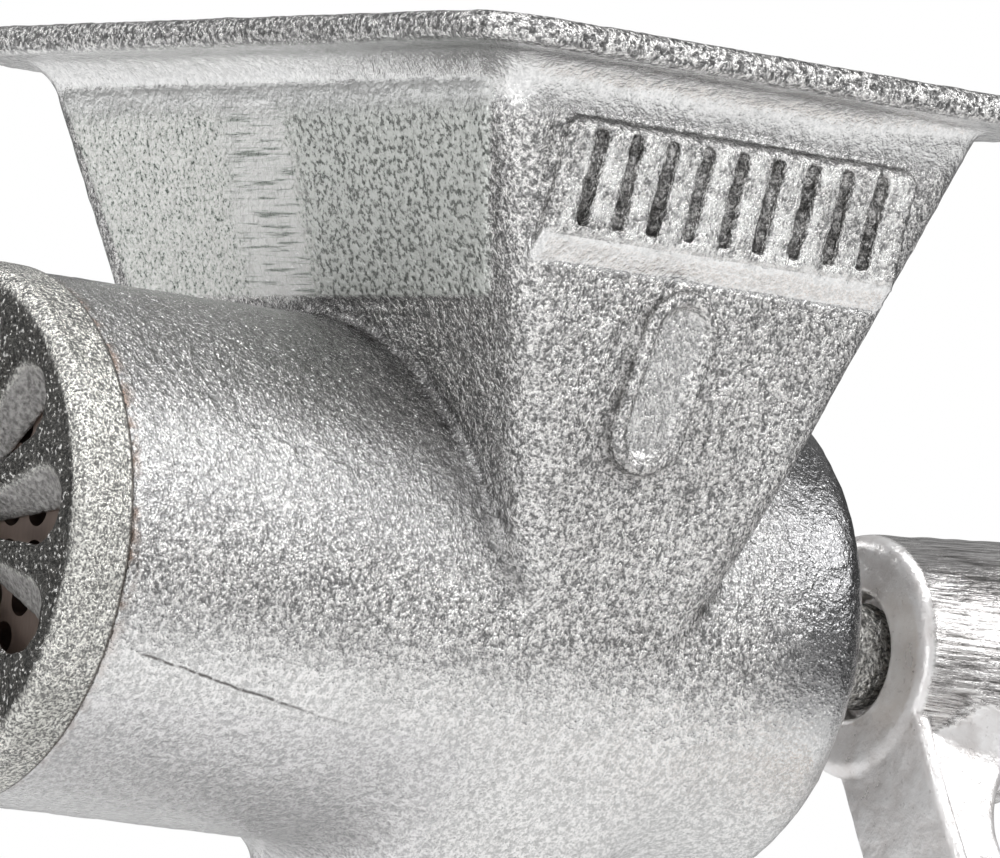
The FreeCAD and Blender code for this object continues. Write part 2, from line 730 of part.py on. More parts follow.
def grip_profile(inner):
    """Half outline of the wooden grip, from its inner to its outer end, round X."""
    x0 = grip_washer_thickness + grip_play / 2
    x1 = x0 + grip_length
    curve = Part.BSplineCurve()
    curve.interpolate([
        Vector(x0 + ferrule_length, 0, grip_end_radius),
        Vector(x0 + grip_length * 0.42, 0, grip_belly_radius),
        Vector(x0 + grip_length * 0.72, 0, grip_belly_radius - 1.8),
        Vector(x1 - ferrule_length, 0, grip_end_radius),
    ])
    seat_radius = grip_end_radius - ferrule_wall
    points = [
        Vector(x1 - ferrule_length, 0, grip_end_radius),
        Vector(x1 - ferrule_length, 0, seat_radius),
        Vector(x1, 0, seat_radius),
        Vector(x1, 0, inner),
        Vector(x0, 0, inner),
        Vector(x0, 0, seat_radius),
        Vector(x0 + ferrule_length, 0, seat_radius),
        Vector(x0 + ferrule_length, 0, grip_end_radius),
    ]
    edges = [curve.toShape()]
    for i in range(len(points) - 1):
        edges.append(Part.makeLine(points[i], points[i + 1]))
    return Part.Wire(edges)


def wooden_grip():
    wood = Part.Face(grip_profile(spindle_radius + spindle_clearance)).revolve(CENTRE, X_AXIS, 360)
    return hang(grip_frame(wood))


def ferrule(at_outer_end):
    x0 = grip_washer_thickness + grip_play / 2
    if at_outer_end:
        x0 += grip_length - ferrule_length
    collar = rod(grip_end_radius, x0, x0 + ferrule_length)
    return hang(grip_frame(collar.cut(rod(grip_end_radius - ferrule_wall, x0 - 1, x0 + ferrule_length + 1))))


def grip_washer():
    disc = rod(spindle_head_radius, 0, grip_washer_thickness)
    return hang(grip_frame(disc.cut(rod(spindle_radius, -1, grip_washer_thickness + 1))))


def grip_spindle():
    end = grip_washer_thickness + grip_play + grip_length
    pin = rod(spindle_radius, -arm_eye_length, end)
    head = rod(spindle_head_radius, end, end + spindle_head)
    head = head.makeFillet(1.2, [e for e in head.Edges if e.BoundBox.XMin > end + spindle_head - 0.01])
    rivet = rod(rivet_head_radius, -arm_eye_length - rivet_head, -arm_eye_length)
    rivet = rivet.makeChamfer(1.2, [e for e in rivet.Edges if e.BoundBox.XMax < -arm_eye_length - 1])
    return hang(grip_frame(pin.fuse([head, rivet])))


def crank_washer():
    disc = rod(crank_washer_radius, hub_rear, hub_rear + crank_washer_thickness)
    return hang(disc.cut(rod(wing_screw_radius + washer_clearance, hub_rear - 1, hub_rear + 10)))


def wing(root_radius, span, height, thickness, tip):
    """Two upright ears standing out to +Y and -Y and rising towards +Z, drawn from Z = 0."""
    ears = []
    for side in (-1, 1):
        start = Vector(0, side * root_radius * 0.4, height * 0.35)
        end = Vector(0, side * (span - tip), height - tip)
        ear = Part.Face(pair_of_ends(start, height * 0.32, end, tip, X_AXIS, -thickness / 2))
        ear = ear.extrude(Vector(thickness, 0, 0))
        ears.append(ear.makeFillet(thickness * 0.3, [e for e in ear.Edges if e.BoundBox.XLength < 0.01]))
    return ears


def crank_screw():
    """The wing screw that holds the crank on the feed screw's end."""
    start = hub_rear + crank_washer_thickness
    shank = rod(wing_screw_radius, hub_rear - wing_screw_depth + 1, start)
    head = rod(wing_screw_head_radius, start, start + wing_screw_head_length)
    head = head.makeChamfer(1.5, [e for e in head.Edges if e.BoundBox.XMin > start + wing_screw_head_length - 0.01])
    ears = wing(wing_screw_head_radius, wing_screw_span, wing_screw_wing_height, wing_screw_wing, 4.5)
    for ear in ears:
        along_x(ear).translate(Vector(start, 0, 0))
    return hang(shank.fuse([head] + ears))


# ---- table clamp ----
def clamp_pad():
    top = -pad_rest_gap
    cup = post(pad_radius, top - pad_thickness, top)
    cup = cup.makeChamfer(1.2, [e for e in cup.Edges if e.BoundBox.ZLength < 0.01])
    sunk = post(pad_radius - pad_rim, top - pad_cup_depth, top + 1)
    return cup.cut([sunk, post(pad_neck_radius + pad_clearance, top - pad_thickness - 1, top + 1)])


def pad_washer():
    floor = -pad_rest_gap - pad_cup_depth + pad_clearance
    disc = post(pad_washer_radius, floor, floor + pad_washer_thickness)
    return disc.cut(post(pad_neck_radius, floor - 1, floor + pad_washer_thickness + 1))


def clamp_screw_shoulder():
    return -pad_rest_gap - pad_thickness - pad_clearance


def clamp_screw():
    top = clamp_screw_shoulder()
    bottom = top - clamp_screw_length
    core_radius = clamp_screw_radius - clamp_thread_depth
    core = post(core_radius, bottom, top)
    plain = post(clamp_screw_radius - 0.2, bottom, bottom + clamp_wing_hub_length + 6)
    ridge = helix_ridge(core_radius - 0.5, clamp_screw_radius, clamp_thread_pitch * 0.85, clamp_thread_pitch * 0.15,
                        clamp_thread_pitch, bottom + clamp_wing_hub_length + 4, top - clamp_thread_pitch, False)
    tip_end = -pad_rest_gap - pad_cup_depth + pad_clearance + pad_washer_thickness
    neck = post(pad_neck_radius, top - 1, tip_end)
    tip = post(pad_neck_radius + 1.2, tip_end, tip_end + 0.8)
    hole = Part.makeCylinder(wing_pin_radius, BIG, Vector(-BIG / 2, 0, wing_pin_height()), X_AXIS)
    return core.fuse([plain, ridge, neck, tip]).cut(hole)


def wing_pin_height():
    return clamp_screw_shoulder() - clamp_screw_length + clamp_wing_hub_length / 2


def clamp_wing():
    bottom = clamp_screw_shoulder() - clamp_screw_length
    hub = post(clamp_wing_hub_radius, bottom, bottom + clamp_wing_hub_length)
    hub = hub.makeChamfer(1.5, [e for e in hub.Edges if e.BoundBox.ZLength < 0.01])
    ears = wing(clamp_wing_hub_radius, clamp_wing_span, clamp_wing_height, clamp_wing_thickness, 6.0)
    for ear in ears:
        ear.rotate(CENTRE, X_AXIS, 180)
        ear.translate(Vector(0, 0, bottom + clamp_wing_hub_length))
    bore = post(clamp_screw_radius - 0.2, bottom - BIG, bottom + BIG)
    hole = Part.makeCylinder(wing_pin_radius, BIG, Vector(-BIG / 2, 0, wing_pin_height()), X_AXIS)
    return hub.fuse(ears).cut([bore, hole])


def wing_pin():
    reach = clamp_wing_hub_radius + 0.6
    return Part.makeCylinder(wing_pin_radius, 2 * reach, Vector(-reach, 0, wing_pin_height()), X_AXIS)


keep("body_casting", body_casting())
keep("rear_bush", rear_bush())
keep("thrust_washer", thrust_washer())
keep("plate_key_pin", plate_key_pin())
keep("hole_plate", hole_plate())
keep("front_ring", front_ring())
keep("cutting_knife", cutting_knife())
keep("knife_stud", knife_stud())
keep("feed_screw", feed_screw())
keep("crank_arm", hang(crank_arm()))
keep("crank_washer", crank_washer())
keep("crank_screw", crank_screw())
keep("grip_spindle", grip_spindle())
keep("grip_washer", grip_washer())
keep("wooden_grip", wooden_grip())
keep("inner_ferrule", ferrule(False))
keep("outer_ferrule", ferrule(True))
keep("clamp_screw", clamp_screw())
keep("clamp_pad", clamp_pad())
keep("pad_washer", pad_washer())
keep("clamp_wing", clamp_wing())
keep("wing_pin", wing_pin())
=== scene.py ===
import math
import bmesh
import bpy
import numpy as np
from mathutils import Matrix, Vector


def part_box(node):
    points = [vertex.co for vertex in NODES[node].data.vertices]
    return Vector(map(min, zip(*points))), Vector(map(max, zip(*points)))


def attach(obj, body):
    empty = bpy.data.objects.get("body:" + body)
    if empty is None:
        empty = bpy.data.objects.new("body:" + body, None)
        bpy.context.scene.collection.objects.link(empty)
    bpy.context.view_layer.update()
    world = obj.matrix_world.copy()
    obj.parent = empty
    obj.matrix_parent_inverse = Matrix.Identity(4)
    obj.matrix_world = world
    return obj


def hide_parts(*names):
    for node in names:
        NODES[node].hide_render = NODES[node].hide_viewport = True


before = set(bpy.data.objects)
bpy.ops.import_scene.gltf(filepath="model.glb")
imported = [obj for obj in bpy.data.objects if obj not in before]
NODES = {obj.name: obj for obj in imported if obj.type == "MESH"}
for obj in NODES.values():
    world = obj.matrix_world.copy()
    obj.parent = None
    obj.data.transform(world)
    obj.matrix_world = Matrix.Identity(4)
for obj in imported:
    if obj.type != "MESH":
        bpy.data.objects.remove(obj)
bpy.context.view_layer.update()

MM = 0.001
SEAM_X, AXIS_Z = -0.048, 0.100     # barrel's front edge, and the height of its axis
CRANK_REST = math.radians(-31.0)   # the crank's rest angle about the barrel's axis

# %% [markdown]
# ## Where we stand
# A long lens from the ring's side, a little below the barrel's axis, is how such a tool is
# often shown. The camera comes first, because every surface is then judged from there. It is
# placed by its direction, its tilt and its distance instead of by typed coordinates.
# %% Set the camera
VIEW_AZIMUTH, VIEW_RISE, VIEW_TILT = (math.radians(a) for a in (35.622, -3.704, 5.852))
VIEW_DISTANCE, AIM_BEHIND_SEAM, AIM_RIGHT, AIM_UP = 1.72134, 0.060, 0.024714, 0.02208
LENS, FILM_WIDTH = 432, 36


def set_camera():
    back = Vector((-math.sin(VIEW_AZIMUTH) * math.cos(VIEW_RISE),
                   -math.cos(VIEW_AZIMUTH) * math.cos(VIEW_RISE), math.sin(VIEW_RISE)))
    level = (-back).cross(Vector((0, 0, 1))).normalized()
    upright = level.cross(-back)
    right = level * math.cos(VIEW_TILT) + upright * math.sin(VIEW_TILT)
    up = upright * math.cos(VIEW_TILT) - level * math.sin(VIEW_TILT)
    aim = Vector((SEAM_X + AIM_BEHIND_SEAM, 0, AXIS_Z)) + right * AIM_RIGHT + up * AIM_UP
    cam = bpy.data.objects.new("camera", bpy.data.cameras.new("camera"))
    bpy.context.scene.collection.objects.link(cam)
    turned = Matrix((right, up, back)).transposed().to_4x4()
    cam.matrix_world = Matrix.Translation(aim + back * VIEW_DISTANCE) @ turned
    cam.data.lens, cam.data.sensor_width, cam.data.clip_start = LENS, FILM_WIDTH, 0.01
    bpy.context.scene.camera = cam
    return cam


print("camera at", [round(v, 3) for v in set_camera().matrix_world.translation])

# %% [markdown]
# ## Shapes as distances
# Cast iron has no sharp inner corners: the pattern maker runs wax fillets along every joint.
# Booleans leave sharp joints, and bevelling them afterwards often fails. So each casting is
# written as a distance: a function that is negative in the metal and positive outside.
# Two such functions join with a fillet of any radius by one short formula.
# %% Join and round distances
def rounded(a, b, radius):
    """What lies in both a and b, with their outer corner rounded."""
    u, v = np.maximum(a + radius, 0), np.maximum(b + radius, 0)
    return np.minimum(np.maximum(a, b) + radius, 0) + np.sqrt(u * u + v * v) - radius


def joined(a, b, radius):
    """What lies in a or b, with a fillet along their inner corner."""
    u, v = np.maximum(radius - a, 0), np.maximum(radius - b, 0)
    return np.maximum(np.minimum(a, b), radius) - np.sqrt(u * u + v * v)


def ease(t):
    t = np.clip(t, 0, 1)
    return t * t * (3 - 2 * t)


# %% [markdown]
# ## From a distance to a mesh
# The distance is sampled on a grid of small cubes. Each cube that the skin passes through
# gets one vertex, and each grid edge that crosses the skin gets one face. The vertices then
# slide along the slope of the distance until they lie on the true surface.
# %% Mesh a distance
CUBE = [(i, j, k) for i in (0, 1) for j in (0, 1) for k in (0, 1)]
CUBE_EDGES = [(a, b) for a in range(8) for b in range(a + 1, 8)
              if sum(abs(CUBE[a][i] - CUBE[b][i]) for i in range(3)) == 1]


def sample(field, low, high, step):
    axes = [np.arange(low[i], high[i] + step, step, dtype=np.float32) for i in range(3)]
    values = np.empty([len(a) for a in axes], np.float32)
    for i in range(0, len(axes[0]), 16):
        x, y, z = axes[0][i:i + 16, None, None], axes[1][None, :, None], axes[2][None, None, :]
        values[i:i + 16] = field(x, y, z)
    return values


def net(field, low, high, step):
    """Vertices and four-sided faces of the skin where field is zero."""
    values = sample(field, low, high, step)
    inside = values < 0
    cells_shape = np.array(values.shape) - 1
    filled = np.zeros(cells_shape, np.int8)
    for i, j, k in CUBE:
        filled += inside[i:i + cells_shape[0], j:j + cells_shape[1], k:k + cells_shape[2]]
    cells = np.argwhere((filled > 0) & (filled < 8))
    index = np.full(cells_shape, -1, np.int64)
    index[tuple(cells.T)] = np.arange(len(cells))
    corner = [values[cells[:, 0] + i, cells[:, 1] + j, cells[:, 2] + k] for i, j, k in CUBE]
    total, hits = np.zeros((len(cells), 3)), np.zeros(len(cells))
    for a, b in CUBE_EDGES:
        crossing = (corner[a] < 0) != (corner[b] < 0)
        t = np.where(crossing, corner[a] / np.where(crossing, corner[a] - corner[b], 1), 0)
        at = np.array(CUBE[a])[None] + t[:, None] * (np.array(CUBE[b]) - np.array(CUBE[a]))[None]
        total += at * crossing[:, None]
        hits += crossing
    points = np.array(low) + step * (cells + total / hits[:, None])
    faces = []
    for axis in range(3):
        first = np.take(inside, range(values.shape[axis] - 1), axis)
        second = np.take(inside, range(1, values.shape[axis]), axis)
        edges = np.argwhere(first != second)
        u, w = (axis + 1) % 3, (axis + 2) % 3
        edges = edges[(edges[:, u] > 0) & (edges[:, w] > 0)
                      & (edges[:, u] < cells_shape[u]) & (edges[:, w] < cells_shape[w])]
        eu, ew = np.eye(3, dtype=int)[u], np.eye(3, dtype=int)[w]
        quad = np.stack([index[tuple((edges - d).T)] for d in (eu + ew, ew, 0 * eu, eu)], 1)
        outward = first[tuple(edges.T)]
        faces.append(np.where(outward[:, None], quad, quad[:, ::-1]))
    return points, np.concatenate(faces)


def slope(field, points, reach=0.12):
    columns = []
    for i in range(3):
        ahead, behind = points.copy(), points.copy()
        ahead[:, i] += reach
        behind[:, i] -= reach
        columns.append(field(*ahead.T) - field(*behind.T))
    return np.stack(columns, 1) / (2 * reach)


def settle(field, points, step, rounds=3):
    for _ in range(rounds):
        g = slope(field, points)
        move = field(*points.T)[:, None] * g / np.maximum((g * g).sum(1), 0.05)[:, None]
        length = np.linalg.norm(move, axis=1)
        points = points - move * np.minimum(1, 0.4 * step / np.maximum(length, 1e-9))[:, None]
    return points


def cast(field, low, high, step, reach=0.2):
    """Points, faces and outward directions of the skin where field is zero."""
    points, faces = net(field, low, high, step)
    points = settle(field, points, step)
    outward = slope(field, points, reach)
    outward /= np.maximum(np.linalg.norm(outward, axis=1), 1e-6)[:, None]
    return points, faces, outward


print("edges of a cube that the skin can cross:", len(CUBE_EDGES))


# %% [markdown]
# ## The skin of sand and tin
# Sand grains and pooled tin leave the surface faintly hammered. A sum of waves that run in
# many directions moves each vertex in or out by a few hundredths of a millimetre. The finer
# grain comes later, in the material.
# %% Ripple a surface and make it an object
def ripple(points, size, seed):
    draw = np.random.default_rng(seed)
    total = np.zeros(len(points))
    for _ in range(28):
        direction = draw.normal(size=3)
        direction /= np.linalg.norm(direction)
        length = size * draw.uniform(0.6, 1.7)
        total += np.sin(points @ direction * (2 * math.pi / length) + draw.uniform(0, 2 * math.pi))
    return total / 3.7


def piece(name, points, faces, material=None, smooth=True):
    """A mesh object from points in metres."""
    mesh = bpy.data.meshes.new(name)
    mesh.vertices.add(len(points))
    mesh.vertices.foreach_set("co", np.asarray(points, np.float32).ravel())
    width = faces.shape[1]
    mesh.loops.add(faces.size)
    mesh.loops.foreach_set("vertex_index", faces.astype(np.int32).ravel())
    mesh.polygons.add(len(faces))
    mesh.polygons.foreach_set("loop_start", np.arange(0, faces.size, width, dtype=np.int32))
    mesh.update(calc_edges=True)
    mesh.validate()
    mesh.polygons.foreach_set("use_smooth", np.full(len(mesh.polygons), smooth))
    obj = bpy.data.objects.new(name, mesh)
    bpy.context.scene.collection.objects.link(obj)
    if material:
        mesh.materials.append(material)
    return obj


def thin_out(obj, most):
    """Merges flat neighbouring triangles until at most that many are left."""
    triangles = sum(len(p.vertices) - 2 for p in obj.data.polygons)
    if triangles > most:
        modifier = obj.modifiers.new("thin", "DECIMATE")
        modifier.ratio = most / triangles
        view = bpy.context.evaluated_depsgraph_get()
        lighter = bpy.data.meshes.new_from_object(obj.evaluated_get(view))
        obj.modifiers.clear()
        old = obj.data
        obj.data = lighter
        bpy.data.meshes.remove(old)
        obj.data.name = obj.name
    obj.data.polygons.foreach_set("use_smooth", np.full(len(obj.data.polygons), True))
    print(obj.name, "triangles", sum(len(p.vertices) - 2 for p in obj.data.polygons))


def seated(points):
    """From the barrel's own millimetres to the frame's metres."""
    return points * MM + np.array([SEAM_X, 0, AXIS_Z])


def vertex_value(obj, name, values):
    layer = obj.data.attributes.new(name, "FLOAT", "POINT")
    layer.data.foreach_set("value", np.asarray(values, np.float32))


def barrel_points(obj):
    co = np.empty(len(obj.data.vertices) * 3, np.float32)
    obj.data.vertices.foreach_get("co", co)
    return (co.reshape(-1, 3).astype(float) - np.array([SEAM_X, 0, AXIS_Z])) / MM


# %% [markdown]
# ## The body's distance
# The body is one casting: barrel, hopper with its rim, leg, clamp frame and jaw. Sizes are
# millimetres from the seam and from the barrel's axis, and repeat those of the working model.
# %% Describe the hopper
BARREL_R, BARREL_END, BORE_R, BORE_END = 37.7, 131.8, 31.3, 119.8
FRONT_X, FRONT_LEAN = 65.8, 0.355
REAR_X, REAR_LEAN = 99.0, 0.367
SIDE_Y, SIDE_LEAN = 43.3, 0.227
RIM_LOW, RIM_TOP, RIM_OUT = 73.3, 77.7, 10.1
WALL = 4.0
UNDER_LEAN, THROAT_LEAN = 0.681, 0.637
PAD_Y, PAD_SPREAD, PAD_Z0, PAD_Z, PAD_HALF = 44.4, 0.318, 40, 54.5, 14.5


def hopper_walls(x, y, z, out=0.0, corner=5.6):
    front = (FRONT_X - FRONT_LEAN * z - x - out) / math.hypot(1, FRONT_LEAN)
    rear = (x - REAR_X - REAR_LEAN * z - out) / math.hypot(1, REAR_LEAN)
    side = (np.abs(y) - SIDE_Y - SIDE_LEAN * z - out) / math.hypot(1, SIDE_LEAN)
    return front, rear, side, corner


def hopper_outside(x, y, z):
    front, rear, side, corner = hopper_walls(x, y, z)
    under = (np.abs(y) - SIDE_Y - UNDER_LEAN * z) / math.hypot(1, UNDER_LEAN)
    wall = rounded(np.maximum(front, rear), rounded(side, under, 10.0), corner)
    wall = np.maximum(wall, np.maximum(-28 - z, z - 75))
    # the front wall carries a pad, ground flat
    pad = rounded(front - 0.5, np.abs(y) - (PAD_Y + PAD_SPREAD * (z - PAD_Z0)), 0.4)
    pad = rounded(pad, np.abs(z - PAD_Z) - PAD_HALF, 0.4)
    wall = np.minimum(wall, np.maximum(pad, -2.5 - front))
    x0 = FRONT_X - FRONT_LEAN * RIM_LOW - RIM_OUT
    x1 = REAR_X + REAR_LEAN * RIM_LOW + RIM_OUT
    plan = rounded(np.abs(x - (x0 + x1) / 2) - (x1 - x0) / 2,
                   np.abs(y) - SIDE_Y - SIDE_LEAN * RIM_LOW - RIM_OUT, 10.6)
    rim = rounded(plan, np.abs(z - (RIM_LOW + RIM_TOP) / 2) - (RIM_TOP - RIM_LOW) / 2, 1.7)
    return joined(wall, rim, 4.2 - 2.4 * ease((x - 100) / 18))


def hopper_hollow(x, y, z):
    flare = ease((z - 67) / 10.7)
    front, rear, side, corner = hopper_walls(x, y, z, 5.0 * flare - WALL, 3.6 + 4.0 * flare)
    throat = (np.abs(y) - 27 - THROAT_LEAN * z) / math.hypot(1, THROAT_LEAN)
    return np.maximum(rounded(np.maximum(front, rear), np.maximum(side, throat), corner), -z)


print("barrel", 2 * BARREL_R, "mm across, rim", round(RIM_TOP - RIM_LOW, 1), "mm high")

# %% [markdown]
# The panel on each side wall is a raised block with upright grooves and a bevelled lower
# edge, and below it sits a plain oval boss. Both are marks of the foundry, without words.
# %% Describe the panels and bosses
PANEL_X0, PANEL_X1, PANEL_Z0, PANEL_Z1 = 52.0, 112.0, 49.0, 66.0
PANEL_HIGH, PANEL_BEVEL, GROOVES = 2.1, 3.6, 9
OVAL_X, OVAL_Z, OVAL_R, OVAL_RUN = 78.2, 31.2, 6.4, 6.8


def from_oval(x, z):
    """Distance from the oval boss's outline, negative inside it."""
    run = np.clip(z - OVAL_Z, -OVAL_RUN, OVAL_RUN)
    return np.hypot(x - OVAL_X - 0.12 * run, z - OVAL_Z - run) - OVAL_R


def side_relief(x, y, z):
    wall = (np.abs(y) - SIDE_Y - SIDE_LEAN * z) / math.hypot(1, SIDE_LEAN)
    lean = 0.25 * (z - PANEL_Z0) / (PANEL_Z1 - PANEL_Z0)
    # the far side's panel starts further from the edge than the near side's
    left = PANEL_X0 + 6.0 * (y > 0) + 2.5 * lean - x
    # the lower edge slopes: the block's face moves back towards the wall there
    height = PANEL_HIGH * np.clip((z - (PANEL_Z0 - PANEL_BEVEL)) / PANEL_BEVEL, 0, 1)
    outline = rounded(np.maximum(left - 1.0, x - PANEL_X1 - 1), PANEL_Z0 - PANEL_BEVEL - z, 1.0)
    slab = np.maximum((wall - height) * 0.8, outline)
    slab = rounded(slab, z - PANEL_Z1, 1.9)
    step = (PANEL_X1 - PANEL_X0 - 4) / GROOVES
    across = (x - PANEL_X0 - 2 - 1.5 * lean) / step
    near = np.abs(across - np.floor(across) - 0.5) * step
    groove = rounded(near - 1.15, np.maximum(np.abs(z - 57.8) - 6.6, 0.2 - wall), 0.5)
    groove = np.maximum(groove, np.maximum(left + 1.5, x - PANEL_X1 + 1.5))
    slab = np.maximum(slab, -groove)
    oval = from_oval(x, z)
    boss = rounded(oval, wall - 1.9, 0.95)
    boss = np.maximum(rounded(boss, -rounded(oval + 2.1, 0.7 - wall, 0.5), 0.5), y)
    return np.minimum(slab, boss)


print("grooves on each panel:", GROOVES)

# %% [markdown]
# The leg spreads where it meets the barrel, narrows, and stands on the jaw. Its outline at
# each height follows a cubic through four measured sections. Below it the clamp frame is a
# thick letter C with a round boss for the clamp's screw.
# %% Describe the leg and the clamp frame
LEG_HEIGHTS = (-96.0, -57.3, -39.7, -24.2)
LEG_FRONT = np.polyfit(LEG_HEIGHTS, (32.0, 55.8, 61.8, 53.8), 3)
LEG_REAR = np.polyfit(LEG_HEIGHTS, (86.0, 99.8, 100.0, 104.0), 3)
LEG_HALF = np.polyfit(LEG_HEIGHTS, (11.5, 14.0, 19.0, 25.0), 3)


JAW_X, JAW_Z, JAW_HALF_X, JAW_HALF_Y = 48, -100, 24, 21
FRAME_THICK_HALF, FRAME_BOSS_R = 13, 14


def leg(x, y, z):
    along = np.maximum(np.polyval(LEG_FRONT, z) - x, x - np.polyval(LEG_REAR, z))
    shaft = rounded(along, np.abs(y) - np.polyval(LEG_HALF, z), 6.0) * 0.8
    return np.maximum(shaft, np.maximum(z + 22, -97 - z))


def clamp_frame(x, y, z):
    cx, cz = x - JAW_X, z - JAW_Z
    outer = rounded(np.abs(cx + 8) - 52, np.abs(cz + 33) - 47, 15.0)
    inner = rounded(np.abs(cx + 56) - 84, np.abs(cz + 32) - 32, 8.0)
    shape = np.maximum(np.maximum(outer, -inner), -10 - cx)
    shape = rounded(shape, np.abs(y) - FRAME_THICK_HALF, 2.5)
    jaw = rounded(np.abs(cx) - JAW_HALF_X, np.abs(y) - JAW_HALF_Y, 6.0)
    jaw = rounded(jaw, np.abs(cz - 4) - 4, 1.5)
    boss = rounded(np.hypot(cx, y) - FRAME_BOSS_R, np.abs(cz + 72) - 10, 1.4)
    return np.minimum(np.minimum(shape, jaw), boss)


print("the jaw is", 2 * JAW_HALF_X, "by", 2 * JAW_HALF_Y, "mm")

# %% [markdown]
# Barrel, hopper, leg, neck, rear boss and clamp frame are joined with fillets, each with its
# own radius, and the bore, the hopper's hollow and two round holes are taken away. The skin
# that is open to the hand is rippled, and the bored and seated faces stay smooth.
# %% Put the body together
NECK_R, NECK_MIDDLE, NECK_HALF = 34.4, -1.8, 2.8     # the neck is inside the ring
BUSH_BORE_R, SCREW_HOLE_R = 9.85, 6.1


def body_field(x, y, z):
    r = np.hypot(y, z)
    barrel = rounded(rounded(r - BARREL_R, x - BARREL_END, 8.0), -x, 0.5)
    rear_boss = rounded(r - 12.35, np.abs(x - 135) - 10.8, 1.0)
    neck = np.maximum(r - NECK_R, np.abs(x - NECK_MIDDLE) - NECK_HALF)
    outside = joined(barrel, hopper_outside(x, y, z), 1.6)
    outside = np.minimum(outside, side_relief(x, y, z))
    outside = joined(outside, leg(x, y, z), 6.0)
    outside = np.minimum(np.minimum(outside, rear_boss), neck)
    outside = joined(outside, clamp_frame(x, y, z), 2.0)
    bore = np.maximum(r - BORE_R, x - BORE_END)
    bush_bore = np.maximum(r - BUSH_BORE_R, 100 - x)
    hollow = np.minimum(np.minimum(bore, hopper_hollow(x, y, z)), bush_bore)
    screw_hole = np.maximum(np.hypot(x - 48, y) - SCREW_HOLE_R, z + 132)
    return np.maximum(outside, -np.minimum(hollow, screw_hole))


CASTING_STEP = 0.85
points, faces, outward = cast(body_field, (-7, -73, -184), (149, 73, 80), CASTING_STEP, 0.3)
from_axis = np.hypot(points[:, 1], points[:, 2])
open_skin = ease((from_axis - BORE_R - 1) / 2) * ease(np.abs(points[:, 2] + 98) / 4)
waves = 0.03 * ripple(points, 2.6, 4) + 0.03 * ripple(points, 9.0, 5)
points = points + outward * waves[:, None] * open_skin[:, None]
casting = piece("casting", seated(points), faces)
thin_out(casting, 190000)
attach(casting, "body")
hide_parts("body_casting")

# %% [markdown]
# ## The slotted ring
# The ring screws on to the barrel and holds the cutting plate. Its windows lean as they go
# in, so that each shows one of its own walls. Leaning windows with a fillet along every edge
# are hard for a node tree to cut, so the ring is a distance too. One window is described
# once, and the angle round the axis is folded so that it repeats.
# %% Make the ring
WINDOWS, RING_R, RING_FRONT, RING_BACK = 11, 38.4, -9.2, -0.15
RING_FACE, RING_HOLLOW_X, RING_HOLLOW_R, RING_EYE_R = 4.2, -5.0, 35.45, 6.0
WINDOW_FIRST, WINDOW_SKEW = math.radians(170.6), math.radians(16.0)
WINDOW_INNER, WINDOW_RUN, WINDOW_ROOT, WINDOW_RIM = 12.0, 15.2, 2.2, 5.6


def ring_field(x, y, z):
    r = np.hypot(y, z)
    disc = rounded(rounded(r - RING_R, RING_FRONT - x, 2.2), x - RING_BACK, 0.5)
    disc = np.maximum(disc, -np.maximum(r - RING_HOLLOW_R, RING_HOLLOW_X - x))
    disc = rounded(disc, RING_EYE_R - r, 0.8)
    turn = WINDOW_FIRST + WINDOW_SKEW * (x - RING_FRONT) / RING_FACE
    pitch = 2 * math.pi / WINDOWS
    angle = np.mod(np.arctan2(z, y) - turn + pitch / 2, pitch) - pitch / 2
    along, aside = r * np.cos(angle), r * np.sin(angle)
    reach = np.clip(along, WINDOW_INNER, WINDOW_INNER + WINDOW_RUN)
    half = WINDOW_ROOT + (reach - WINDOW_INNER) * (WINDOW_RIM - WINDOW_ROOT) / WINDOW_RUN
    window = (np.hypot(along - reach, aside) - half) * 0.93
    return rounded(disc, -window, 1.1)


RING_STEP = 0.42
points, faces, outward = cast(ring_field, (-10, -40, -40), (1, 40, 40), RING_STEP)
from_axis = np.hypot(points[:, 1], points[:, 2])
shown = ease((-0.6 - points[:, 0]) / 0.8) * ease((from_axis - 4) / 4)
points = points + outward * (0.05 * ripple(points, 2.6, 9))[:, None] * shown[:, None]
slotted_ring = piece("slotted_ring", seated(points), faces)
thin_out(slotted_ring, 170000)
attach(slotted_ring, "ring")
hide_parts("front_ring")

# %% [markdown]
# ## The crank
# The crank is another casting: a hub with a square hole, and an arm that bends away from
# the barrel so that the knuckles clear the hopper. It is described hanging straight down,
# then turned to its rest angle.
# %% Make the crank
HUB_FRONT, HUB_REAR, HUB_R, HUB_SWELL = 155.0, 183.0, 18.1, 1.9
CRANK_LENGTH, EYE_R, PIN_R, SQUARE_HALF, RECESS_R = 170.0, 12.0, 4.0, 5.35, 9.5


def hub_radius(x):
    return HUB_R + HUB_SWELL * (x - HUB_FRONT) / (HUB_REAR - HUB_FRONT)


